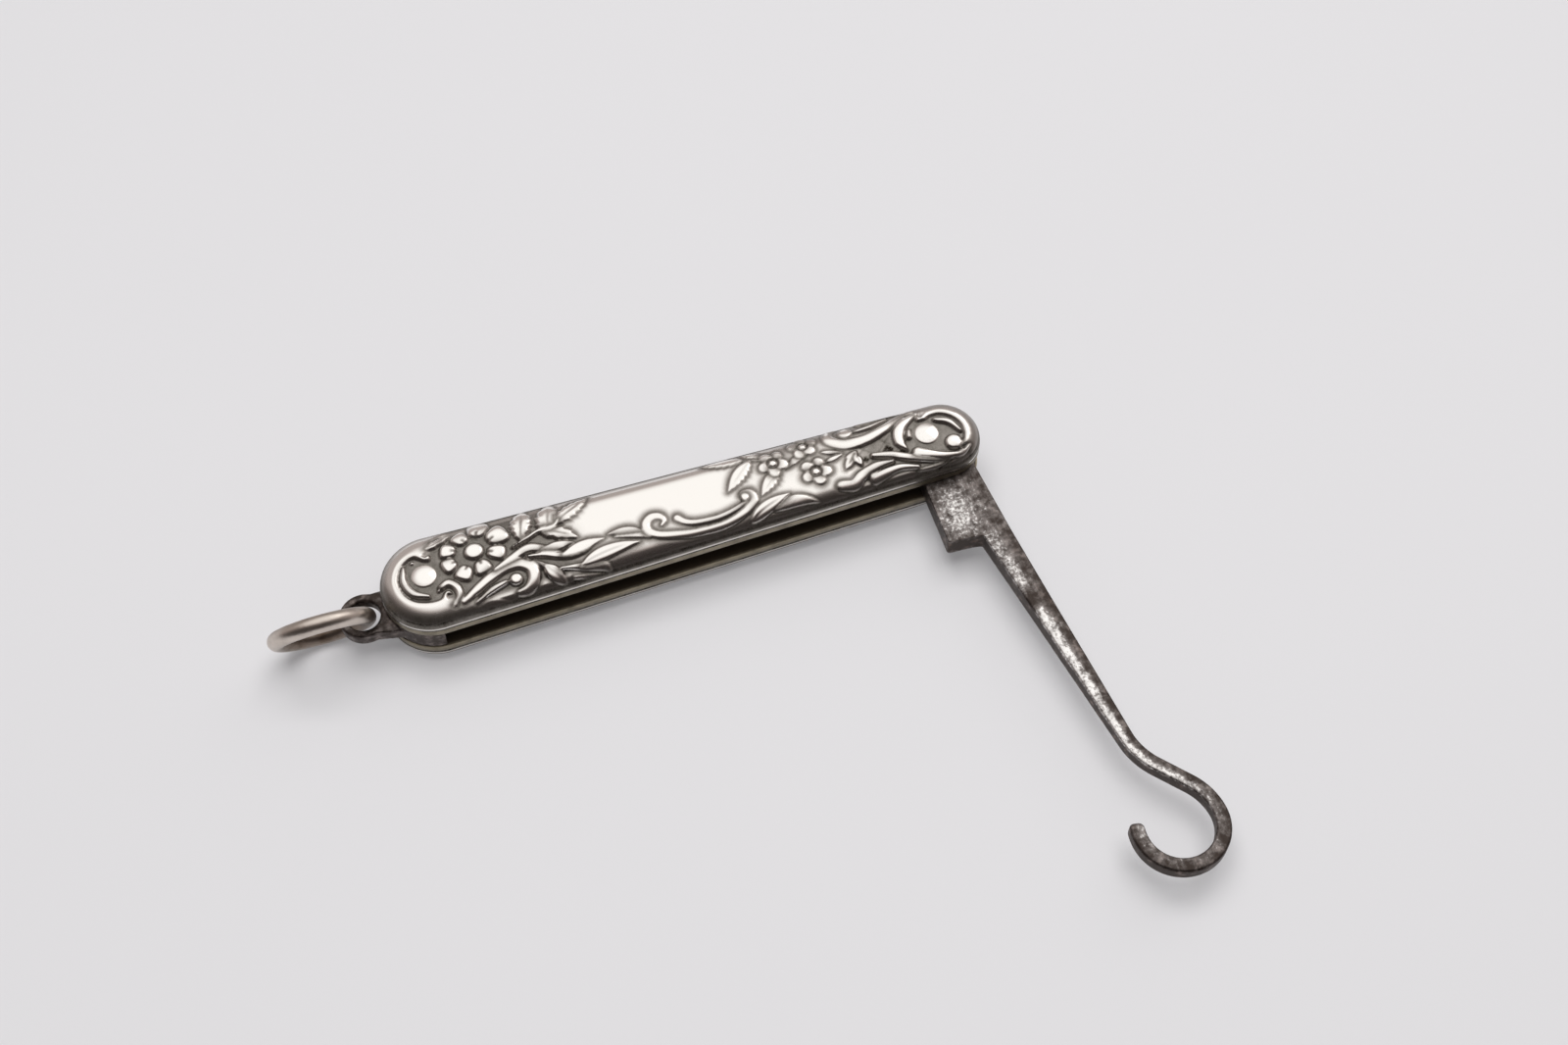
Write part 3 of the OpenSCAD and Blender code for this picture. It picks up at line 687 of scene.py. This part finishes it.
def hook_stations(h):
    """Places along the hook: middle point, heading, half width, half thickness and edge rounding."""
    stations = []
    end = h.tang_length - h.step_run
    tang = [-h.tang_radius * math.cos(math.radians(a)) for a in range(12, 91, 13)]
    tang += [h.shoulder_at * f for f in (0.15, 0.3, 0.45, 0.6, 0.8, 0.99)]
    tang += list(np.linspace(h.shoulder_at, end - h.heel, 34))
    tang += [end - h.heel * (1 - math.sin(math.radians(a))) for a in range(15, 91, 15)]
    tang += list(np.linspace(end, h.tang_length, 8)[1:])
    for u in tang:
        low, high = tang_edges(h, u)
        stations.append((u, (low + high) / 2, 0.0, (high - low) / 2, h.tang_thick / 2, h.tang_round))

    tilt, bend = h.shank_tilt, h.bend_turn
    bend_du = h.bend_radius * (math.sin(bend) - math.sin(tilt))
    bend_dv = h.bend_radius * (math.cos(tilt) - math.cos(bend))
    run_du, run_dv = h.run * math.cos(bend), h.run * math.sin(bend)
    bow_top = h.spine + bend_dv + run_dv + h.bow_in_radius * (1 - math.cos(bend))
    bow_v = bow_top - h.bow_radius
    far = h.reach - h.bow_radius - h.wire_width / 2
    bow_u = math.sqrt(far * far - bow_v * bow_v)
    bend_u = bow_u - h.bow_in_radius * math.sin(bend) - run_du - bend_du
    half_w, half_t = h.wire_width / 2, h.wire_thick / 2

    for f in np.linspace(0.0, 1.0, 110)[1:]:
        middle = mix(h.spine - h.shank_width / 2, h.spine, f)
        rounding = mix(h.tang_round, h.wire_round, min(1.0, 3 * f))
        stations.append((mix(h.tang_length, bend_u, f), middle, tilt * f, mix(h.shank_width / 2, half_w, f),
                         mix(h.tang_thick / 2, half_t, f), rounding))

    def arc(u, v, start, sweep, radius, steps):
        for a in start + sweep * np.linspace(0.0, 1.0, steps)[1:]:
            stations.append((u + radius * math.cos(a), v + radius * math.sin(a),
                             a + math.copysign(math.pi / 2, sweep), half_w, half_t, h.wire_round))

    arc(bend_u - h.bend_radius * math.sin(tilt), h.spine + h.bend_radius * math.cos(tilt),
        tilt - math.pi / 2, bend - tilt, h.bend_radius, 20)
    u, v = stations[-1][:2]
    for f in np.linspace(0.0, 1.0, 16)[1:]:
        stations.append((u + run_du * f, v + run_dv * f, bend, half_w, half_t, h.wire_round))
    arc(bow_u, bow_top - h.bow_in_radius, math.pi / 2 + bend, -bend, h.bow_in_radius, 18)
    arc(bow_u, bow_v, math.pi / 2, -math.pi, h.bow_radius, 60)
    arc(bow_u, bow_v - h.bow_radius + h.tip_radius, -math.pi / 2, -h.tip_turn, h.tip_radius, 8)
    u, v, ahead = stations[-1][:3]
    for degrees in (15, 30, 45, 58, 70, 80, 86):
        shrink, onward = heading(degrees)
        stations.append((u + half_w * onward * math.cos(ahead), v + half_w * onward * math.sin(ahead), ahead,
                         half_w * shrink, half_t * shrink, h.wire_round * shrink))
    return stations


def hook_wear(h, u, across, up):
    """How bright the steel is rubbed, at a distance from the pivot and shares of the half width and height.

    The middle of the tang is bright, and the inner top edge of the shank but for one stain."""
    if u < h.tang_length:
        rubbed = 0.8 * swell(u, h.rubbed_at, h.rubbed_reach) * swell(across, -0.3, 0.6)
    else:
        stain = swell(u, h.stain_at, h.stain_reach)
        along = smooth_step(1.0, 0.75, u / h.reach) * (0.5 + 0.5 * smooth_step(12 * MM, 24 * MM, u))
        rubbed = smooth_step(0.4, -0.4, across) * along * (1.0 - stain)
        rubbed = rubbed - 0.25 * smooth_step(0.0, 0.8, across) - 0.3 * stain
    return float(-0.4 + (0.57 + 0.83 * rubbed) * smooth_step(0.5, 0.95, abs(up)))


def hook_mesh(h):
    """The hook as one bar drawn through its stations, with a wear value at every point."""
    bm = bmesh.new()
    layer = bm.verts.layers.float.new("wear")
    turned = Matrix.Translation(PIVOT) @ Matrix.Rotation(h.rest_angle, 4, "Z")
    verts, edges = [], []
    for u, v, ahead, half_w, half_t, rounding in hook_stations(h):
        ring = section(half_w, half_t, rounding)
        if verts:
            raised, edges = extrude_rim(bm, edges)
            verts = [raised[vert] for vert in verts]
        else:
            verts = bmesh.ops.create_circle(bm, cap_ends=True, radius=1.0, segments=len(ring))["verts"]
            edges = bm.edges[:]
        for vert, (p, q) in zip(verts, ring):
            vert.co = turned @ Vector((u - p * math.sin(ahead), v + p * math.cos(ahead), q))
            vert[layer] = hook_wear(h, u, p / half_w, q / half_t)
    bmesh.ops.edgeloop_fill(bm, edges=edges)
    bmesh.ops.recalc_face_normals(bm, faces=bm.faces[:])
    return bm


def spin_round(bm, centre, steps):
    """Turns an outline once round an upright axis into a closed surface."""
    bmesh.ops.spin(bm, geom=bm.verts[:] + bm.edges[:], cent=centre, axis=(0, 0, 1), angle=2 * math.pi,
                   steps=steps, use_merge=True)
    bmesh.ops.remove_doubles(bm, verts=bm.verts[:], dist=1e-7)
    bmesh.ops.recalc_face_normals(bm, faces=bm.faces[:])


def pin_mesh(pin, sizes):
    """A pin with a low domed head at each end, turned from its half outline."""
    bm = bmesh.new()
    top = PIN_HIGH.z - MID_Z
    seat = top - sizes.head_height
    sphere = (sizes.head_radius ** 2 + sizes.head_rise ** 2) / (2 * sizes.head_rise)
    full = math.asin(sizes.head_radius / sphere)
    half = [(0.0, top)]
    for f in (0.2, 0.4, 0.6, 0.75, 0.88, 0.96):
        half.append((sphere * math.sin(full * f), top - sphere * (1 - math.cos(full * f))))
    half += [(sizes.head_radius, top - sizes.head_rise - sizes.head_rim), (sizes.head_radius, seat),
             (sizes.radius, seat)]
    outline = half + [(r, -z) for r, z in reversed(half)]
    verts = [bm.verts.new((pin.x + r, pin.y, MID_Z + z)) for r, z in outline]
    for pair in zip(verts, verts[1:]):
        bm.edges.new(pair)
    spin_round(bm, pin, 72)
    return bm


def ring_mesh(sizes):
    """The hanging ring, one turn of round wire, darker inside and on one face, partly tarnish and partly
    painted shade.
    """
    bm = bmesh.new()
    upright = Matrix.Translation((sizes.radius, 0, 0)) @ Matrix.Rotation(math.pi / 2, 4, "X")
    bmesh.ops.create_circle(bm, cap_ends=False, radius=sizes.wire / 2, segments=36, matrix=upright)
    spin_round(bm, (0, 0, 0), sizes.segments)
    layer = bm.verts.layers.float.new("tarnish_and_shade")
    for v in bm.verts:
        inward = (sizes.radius - v.co.xy.length) / (sizes.wire / 2)
        beside = -v.co.z / (sizes.wire / 2)
        # Painted shade with some tarnish: the inside of the wire and one face are darkened in colour.
        v[layer] = max(0.1 + 0.72 * smooth_step(-0.4, 0.8, inward), 0.6 * smooth_step(0.2, 0.9, beside))
    low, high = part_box("hanging_ring")
    hung = Matrix.Translation((low + high) / 2) @ Matrix.Rotation(math.pi - sizes.lean, 4, "X")
    bmesh.ops.transform(bm, matrix=hung, verts=bm.verts[:])
    return bm


def worn_copy(node, cell, rounds):
    """A copy of a forged CAD piece with its edges worn round, remeshed at a scale of millimetres."""
    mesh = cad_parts[node].data.copy()
    bm = bmesh.new()
    bm.from_mesh(mesh)
    bmesh.ops.remove_doubles(bm, verts=bm.verts[:], dist=1e-6)
    bmesh.ops.scale(bm, verts=bm.verts[:], vec=(1000, 1000, 1000))
    bm.to_mesh(mesh)
    bm.free()
    draft = bpy.data.objects.new("draft", mesh)
    bpy.context.scene.collection.objects.link(draft)
    remesh = draft.modifiers.new("even", "REMESH")
    remesh.mode, remesh.voxel_size = "VOXEL", cell / MM
    smooth = draft.modifiers.new("wear", "SMOOTH")
    smooth.factor, smooth.iterations = 0.5, rounds
    made = bpy.data.meshes.new_from_object(draft.evaluated_get(bpy.context.evaluated_depsgraph_get()))
    bm = bmesh.new()
    bm.from_mesh(made)
    bmesh.ops.scale(bm, verts=bm.verts[:], vec=(MM, MM, MM))
    bpy.data.objects.remove(draft)
    bpy.data.meshes.remove(mesh)
    bpy.data.meshes.remove(made)
    return bm


# Finishes

class Nodes:
    """Builds the nodes of one shader tree. A value is a number, a colour or the output of another node."""

    def __init__(self, tree):
        self.tree = tree

    def set(self, node, values):
        """Sets or links inputs of a node, by label or number. A colour is given as three numbers."""
        for label, value in values.items():
            socket = node.inputs[label]
            if isinstance(value, bpy.types.NodeSocket):
                self.tree.links.new(value, socket)
            elif socket.type == "RGBA":
                socket.default_value = (*value, 1.0)
            else:
                socket.default_value = value

    def add(self, kind, values, **options):
        node = self.tree.nodes.new("ShaderNode" + kind)
        for name, option in options.items():
            setattr(node, name, option)
        self.set(node, values)
        return node

    def calc(self, operation, first, second, clamp=False):
        return self.add("Math", {0: first, 1: second}, operation=operation, use_clamp=clamp).outputs[0]

    def plus(self, first, second, clamp=False):
        return self.calc("ADD", first, second, clamp)

    def minus(self, first, second):
        return self.calc("SUBTRACT", first, second)

    def times(self, first, second):
        return self.calc("MULTIPLY", first, second)

    def greatest(self, first, second):
        return self.calc("MAXIMUM", first, second)

    def place(self, kind="Object"):
        return self.add("TexCoord", {}).outputs[kind]

    def noise(self, scale, detail, rough, stretch=None):
        """Noise over object coordinates, with an even or a stretched grain and a scale per metre."""
        place = self.place()
        if stretch:
            place = self.add("Mapping", {"Vector": place, "Scale": stretch}).outputs["Vector"]
        values = {"Vector": place, "Scale": scale, "Detail": detail, "Roughness": rough}
        return self.add("TexNoise", values).outputs["Fac"]

    def between(self, value, low, high, first=0.0, second=1.0, kind="SMOOTHSTEP"):
        """A value that goes from first to second as the given one goes from low to high."""
        values = {"Value": value, "From Min": low, "From Max": high, "To Min": first, "To Max": second}
        return self.add("MapRange", values, interpolation_type=kind).outputs["Result"]

    def values(self, mask, first, second):
        return self.between(mask, 0.0, 1.0, first, second, "LINEAR")

    def colours(self, mask, first, second):
        return self.add("Mix", {0: mask, 6: first, 7: second}, data_type="RGBA").outputs[2]

    def attribute(self, name):
        return self.add("Attribute", {}, attribute_name=name).outputs["Fac"]

    def group(self, shared, **values):
        return self.add("Group", values, node_tree=shared).outputs[0]


class Group(Nodes):
    """A new shader group of values, with one output."""

    def __init__(self, name, output, **inputs):
        super().__init__(bpy.data.node_groups.new(name, "ShaderNodeTree"))
        for label, default in inputs.items():
            socket = self.tree.interface.new_socket(label, in_out="INPUT", socket_type="NodeSocketFloat")
            socket.default_value = default
        self.tree.interface.new_socket(output, in_out="OUTPUT", socket_type="NodeSocketFloat")
        self.given = self.tree.nodes.new("NodeGroupInput").outputs

    def done(self, result):
        self.set(self.tree.nodes.new("NodeGroupOutput"), {0: result})
        return self.tree


class Finish(Nodes):
    """A new material with a principled shader."""

    def __init__(self, name):
        self.material = bpy.data.materials.new(name)
        self.material.use_nodes = True
        super().__init__(self.material.node_tree)
        self.shader = self.tree.nodes["Principled BSDF"]

    def done(self, colour, rough, metallic, marks, strength, height):
        """Sets the shader, with a relief from marks of the given height."""
        relief = self.add("Bump", {"Height": marks, "Strength": strength, "Distance": height})
        self.set(self.shader, {"Base Color": colour, "Roughness": rough, "Metallic": metallic,
                               "Normal": relief.outputs["Normal"]})
        return self.material


def patches_group():
    """Mask of worn or stained patches: their size, how much they cover and how soft they are."""
    n = Group("worn_patches", "Mask", Scale=800.0, Cover=0.5, Soft=0.08, Push=0.0)
    pushed = n.plus(n.noise(n.given["Scale"], 7.0, 0.62), n.given["Push"])
    edge = n.minus(1.0, n.given["Cover"])
    return n.done(n.between(pushed, n.minus(edge, n.given["Soft"]), n.plus(edge, n.given["Soft"])))


def scratches_group():
    """Height of fine scratches in two directions, with a few small dents."""
    n = Group("fine_scratches", "Height", Scale=900.0, Dents=0.3)
    along = n.noise(n.given["Scale"], 3.0, 0.6, (0.12, 1.6, 1.6))
    across = n.noise(n.given["Scale"], 3.0, 0.6, (1.8, 0.2, 1.8))
    dents = n.times(n.noise(1400.0, 2.0, 0.5), n.given["Dents"])
    return n.done(n.plus(n.times(n.plus(along, across), 0.5), dents))


class Metals:
    """The materials, each made once."""

    def __init__(self, finishes):
        self.patches = patches_group()
        self.scratches = scratches_group()
        self.silver = self.embossed_silver(finishes)
        self.pins = self.polished_heads(finishes)
        self.ring = self.worn_ring(finishes)
        self.hook = self.pitted_steel("hook_steel", finishes, 0.43, (1.6, 0.25, 1.6), "wear")
        self.spring = self.pitted_steel("dark_steel", finishes, 0.42, (0.25, 1.6, 1.6))
        self.liner = self.sheet_liner(finishes)
        self.pitch = self.cast_pitch(finishes)

    def embossed_silver(self, f):
        """Silver from polished to black, uneven and matted where it is tarnished, and darkened where shade
        is painted.
        """
        n = Finish("embossed_silver")
        stain = n.noise(900.0, 5.0, 0.6)
        grain = n.noise(7000.0, 3.0, 0.6)
        drift = n.minus(n.plus(stain, grain), 1.0)
        depth = n.attribute("tarnish_and_shade")
        mask = n.plus(depth, n.times(n.times(drift, depth), 0.45), clamp=True)
        ramp = n.add("ValToRGB", {"Fac": mask})
        steps = ramp.color_ramp.elements
        steps[0].color = (*f.silver, 1.0)
        steps[1].color = (*f.oxide, 1.0)
        for place, tone in ((0.5, f.film_and_shade), (0.86, f.matte)):
            steps.new(place).color = (*tone, 1.0)
        scratches = n.times(n.group(self.scratches, Scale=1300.0, Dents=0.1), 0.25)
        marks = n.plus(n.times(grain, mask), scratches)
        return n.done(ramp.outputs["Color"], n.values(mask, 0.12, 0.55), 1.0, marks, 0.5, 0.03 * MM)

    def polished_heads(self, f):
        n = Finish("polished_heads")
        stain = n.group(self.patches, Scale=1500.0, Cover=0.32, Soft=0.14)
        marks = n.group(self.scratches, Scale=1500.0, Dents=0.4)
        tone = n.colours(stain, f.silver, f.dim_silver)
        return n.done(tone, n.values(stain, 0.16, 0.34), 1.0, marks, 0.2, 0.03 * MM)

    def worn_ring(self, f):
        n = Finish("worn_ring")
        stain = n.group(self.patches, Scale=600.0, Cover=0.42, Soft=0.16)
        # The mask holds tarnish patches and the painted shade on the inside and one face of the wire.
        mask = n.plus(n.attribute("tarnish_and_shade"), n.times(stain, 0.2), clamp=True)
        marks = n.group(self.scratches, Scale=1000.0, Dents=0.7)
        tone = n.colours(mask, f.worn_silver, f.brown_silver_and_shade)
        return n.done(tone, n.values(mask, 0.3, 0.46), 1.0, marks, 0.5, 0.04 * MM)

    def pitted_steel(self, name, f, cover, grain, wear=None):
        """Dark steel with patches of rust, rubbed grey and bare in places, more so where it is worn."""
        n = Finish(name)
        push = n.minus(n.times(n.noise(1500.0, 5.0, 0.6, grain), 0.3), 0.195)
        if wear:
            push = n.plus(push, n.times(n.attribute(wear), 0.28))
        rubbed = n.group(self.patches, Scale=1100.0, Cover=cover, Soft=0.24, Push=push)
        speck = n.group(self.patches, Scale=3000.0, Cover=0.33, Soft=0.1, Push=push)
        rust = n.group(self.patches, Scale=1100.0, Cover=0.37, Soft=0.12)
        worn = n.colours(rubbed, n.colours(rust, f.steel, f.rust), f.grey_steel)
        tone = n.colours(n.times(speck, rubbed), worn, f.bright_steel)
        pits = n.plus(n.noise(2400.0, 6.0, 0.65), n.times(speck, 0.3))
        return n.done(tone, n.values(rubbed, 0.5, 0.34), n.values(rust, 1.0, 0.6), pits, 0.5, 0.05 * MM)

    def sheet_liner(self, f):
        """Yellowish metal, lighter at its edges, with dirt and painted shade darkening its flat faces, which
        show inside the slot.
        """
        n = Finish("sheet_liner")
        stain = n.group(self.patches, Scale=700.0, Cover=0.45, Soft=0.2)
        # Painted shade with dirt: the flat faces, seen deep in the slot, are darkened, and the rounded edges
        # stay light.
        face = n.minus(1.0, n.attribute("edge"))
        dirt_and_shade = n.plus(n.times(stain, 0.45), face, clamp=True)
        marks = n.group(self.scratches, Scale=1200.0, Dents=0.3)
        tone = n.colours(dirt_and_shade, f.liner, f.dirt_and_shade_liner)
        return n.done(tone, n.values(dirt_and_shade, 0.34, 0.6), n.values(dirt_and_shade, 1.0, 0.3), marks, 0.3, 0.03 * MM)

    def cast_pitch(self, f):
        n = Finish("cast_pitch")
        crust = n.group(self.patches, Scale=500.0, Cover=0.5, Soft=0.2)
        tone = n.colours(crust, f.pitch, f.dry_pitch)
        return n.done(tone, n.values(crust, 0.45, 0.7), 0.0, crust, 0.4, 0.1 * MM)


@functools.cache
def metals():
    """The shared materials, made at the first call."""
    return Metals(bpy.context.scene.finishes)


# Operators

class BUTTONHOOK_OT_scales(Operator):
    """Emboss the two silver scales"""
    bl_idname = "buttonhook.scales"
    bl_label = "Emboss the scales"

    def execute(self, context):
        bm = scale_mesh(context.scene.handle_sizes)
        other = bm.copy()
        about = Vector((0, SIDE_Y, MID_Z))
        bmesh.ops.rotate(other, verts=other.verts[:], cent=about, matrix=Matrix.Rotation(math.pi, 3, "X"))
        for node, made in (("front_scale", bm), ("back_scale", other)):
            dress(new_piece(node + "_silver", made, 60), "handle", "silver", metals().silver, node)
        return {"FINISHED"}


class BUTTONHOOK_OT_liners(Operator):
    """Cut the two liners"""
    bl_idname = "buttonhook.liners"
    bl_label = "Cut the liners"

    def execute(self, context):
        for node in ("front_liner", "back_liner"):
            low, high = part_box(node)
            bm = plate(context.scene.handle_sizes, low.z, high.z)
            dress(new_piece(node + "_sheet", bm), "handle", "liner_metal", metals().liner, node)
        return {"FINISHED"}


class BUTTONHOOK_OT_spring(Operator):
    """Forge the back spring with its tail block and eye"""
    bl_idname = "buttonhook.spring"
    bl_label = "Forge the spring"

    def execute(self, context):
        bm = worn_copy("back_spring", context.scene.handle_sizes.spring_cell, 8)
        dress(new_piece("back_spring_steel", bm, 70), "handle", "dark_steel", metals().spring, "back_spring")
        return {"FINISHED"}


class BUTTONHOOK_OT_hook(Operator):
    """Draw the hook"""
    bl_idname = "buttonhook.hook"
    bl_label = "Draw the hook"

    def execute(self, context):
        bm = hook_mesh(context.scene.hook_sizes)
        dress(new_piece("hook_steel", bm, 40), "hook", "hook_steel", metals().hook, "hook")
        return {"FINISHED"}


class BUTTONHOOK_OT_pins(Operator):
    """Turn the pivot and tail pins"""
    bl_idname = "buttonhook.pins"
    bl_label = "Turn the pins"

    def execute(self, context):
        for node, place in (("pivot_pin", PIVOT), ("tail_pin", TAIL_PIN)):
            bm = pin_mesh(place, context.scene.pin_sizes)
            dress(new_piece(node + "_heads", bm), "handle", "pin_metal", metals().pins, node)
        return {"FINISHED"}


class BUTTONHOOK_OT_ring(Operator):
    """Bend the hanging ring"""
    bl_idname = "buttonhook.ring"
    bl_label = "Bend the ring"

    def execute(self, context):
        bm = ring_mesh(context.scene.ring_sizes)
        dress(new_piece("hanging_ring_wire", bm), "ring", "ring_silver", metals().ring, "hanging_ring")
        return {"FINISHED"}


class BUTTONHOOK_OT_inner(Operator):
    """Finish the fillings and the spring pin inside the handle"""
    bl_idname = "buttonhook.inner"
    bl_label = "Finish the inner pieces"

    def execute(self, context):
        coat(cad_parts["front_filling"], metals().pitch)
        coat(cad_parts["back_filling"], metals().pitch)
        coat(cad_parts["spring_pin"], metals().spring)
        return {"FINISHED"}


class BUTTONHOOK_OT_stage(Operator):
    """Set the floor, the soft light and the camera"""
    bl_idname = "buttonhook.stage"
    bl_label = "Set the stage"

    def execute(self, context):
        scene = context.scene
        self.lay_floor(scene.finishes.floor)
        self.light_room(scene, scene.finishes)
        for name, place, size, power, glossy in (("window", (0.42, 0.24, 0.42), 0.45, 0.45, True),
                                                 ("overhead", (0.02, 0.06, 0.6), 0.5, 3.15, False)):
            self.hang_lamp(scene, name, Vector(place), size, power, glossy)
        self.place_camera(scene)
        scene.view_settings.view_transform = "Standard"
        return {"FINISHED"}

    def lay_floor(self, tone, mottling=0.015):
        """A floor that takes light and shadow near the object, and far off glows in its own colour."""
        bm = bmesh.new()
        bmesh.ops.create_grid(bm, x_segments=8, y_segments=8, size=1.6)
        floor = new_piece("floor", bm)
        n = Finish("pale_floor")
        darker = [c * (1 - mottling) for c in tone]
        lighter = [min(1.0, c * (1 + mottling)) for c in tone]
        mottled = n.colours(n.noise(14.0, 3.0, 0.5), darker, lighter)
        n.set(n.shader, {"Base Color": mottled, "Roughness": 0.7, "Specular IOR Level": 0.2})
        path = n.add("LightPath", {}).outputs
        seen = n.greatest(path["Is Camera Ray"], path["Is Glossy Ray"])
        seen = n.greatest(seen, path["Is Transmission Ray"])
        away = n.add("VectorMath", {0: n.place()}, operation="LENGTH").outputs["Value"]
        fade = n.times(seen, n.between(away, 0.25, 0.8, 0.2, 1.0, "LINEAR"))
        glow = n.add("Emission", {"Color": tone}).outputs[0]
        both = n.add("MixShader", {0: fade, 1: n.shader.outputs[0], 2: glow}).outputs[0]
        n.set(n.tree.nodes["Material Output"], {"Surface": both})
        coat(floor, n.material)

    def light_room(self, scene, f):
        """A room that is bright above and beyond the object, and dim behind the camera.

        It lights dull surfaces evenly, and the camera sees it in the colour of the floor."""
        scene.world = bpy.data.worlds.new("studio")
        scene.world.use_nodes = True
        n = Nodes(scene.world.node_tree)
        bright = self.toward(n, (0.135, 0.401, 0.906), 0.55, 0.92, 0.0, 1.08)
        around = self.toward(n, (0.316, 0.949, 0.1), -0.5, 0.35, 0.05, 0.42)
        glow = n.greatest(bright, around)
        path = n.add("LightPath", {}).outputs
        seen, diffuse = path["Is Camera Ray"], path["Is Diffuse Ray"]
        tint = n.colours(n.greatest(glow, diffuse), f.dim_room, f.bright_room)
        n.set(n.tree.nodes["Background"], {"Strength": n.greatest(n.values(diffuse, glow, 0.22), seen),
                                           "Color": n.colours(seen, tint, f.floor)})

    def toward(self, n, direction, low, high, dark, light):
        """Brightness of the room that rises toward a direction."""
        facing = n.add("VectorMath", {0: n.place("Generated"), 1: direction}, operation="DOT_PRODUCT")
        return n.between(facing.outputs["Value"], low, high, dark, light)

    def hang_lamp(self, scene, name, place, size, power, glossy):
        lamp = bpy.data.lights.new(name, "AREA")
        lamp.shape, lamp.size, lamp.energy = "SQUARE", size, power
        lamp.color = scene.finishes.lamp
        holder = bpy.data.objects.new(name, lamp)
        holder.location = place
        target = Vector((0.0, -0.01, 0.0))
        holder.rotation_euler = (target - place).to_track_quat("-Z", "Y").to_euler()
        holder.visible_glossy = glossy
        scene.collection.objects.link(holder)

    def place_camera(self, scene, looks_down=59.5, looks_aside=-18.462):
        lens = bpy.data.cameras.new("camera")
        lens.sensor_width, lens.lens = 36.0, 50.625
        lens.clip_start, lens.clip_end = 0.005, 20.0
        camera = bpy.data.objects.new("camera", lens)
        camera.location = (-26.31 * MM, -111.9 * MM, 198.63 * MM)
        camera.rotation_euler = (math.radians(90 - looks_down), 0.0, math.radians(looks_aside))
        scene.collection.objects.link(camera)
        scene.camera = camera


class BUTTONHOOK_PT_panel(Panel):
    """Lists the steps and the settings"""
    bl_idname = "BUTTONHOOK_PT_panel"
    bl_label = "Button hook"
    bl_space_type = "VIEW_3D"
    bl_region_type = "UI"
    bl_category = "Button hook"

    def draw(self, context):
        for step in STEPS:
            self.layout.operator(step.bl_idname)
        for name, kind in SETTINGS.items():
            box = self.layout.box()
            for field in kind.__annotations__:
                box.prop(getattr(context.scene, name), field)


STEPS = (BUTTONHOOK_OT_scales, BUTTONHOOK_OT_liners, BUTTONHOOK_OT_spring, BUTTONHOOK_OT_hook,
         BUTTONHOOK_OT_pins, BUTTONHOOK_OT_ring, BUTTONHOOK_OT_inner, BUTTONHOOK_OT_stage)
SETTINGS = {"handle_sizes": HandleSizes, "pin_sizes": PinSizes, "hook_sizes": HookSizes,
            "ring_sizes": RingSizes, "finishes": Finishes}


def register():
    for kind in (*SETTINGS.values(), *STEPS, BUTTONHOOK_PT_panel):
        bpy.utils.register_class(kind)
    for name, kind in SETTINGS.items():
        setattr(bpy.types.Scene, name, PointerProperty(type=kind))


def unregister():
    for name in SETTINGS:
        delattr(bpy.types.Scene, name)
    for kind in (BUTTONHOOK_PT_panel, *reversed(STEPS), *reversed(SETTINGS.values())):
        bpy.utils.unregister_class(kind)


def main():
    """Makes every piece and the stage."""
    register()
    for step in STEPS:
        space, name = step.bl_idname.split(".")
        getattr(getattr(bpy.ops, space), name)()


if __name__ == "__main__":
    main()
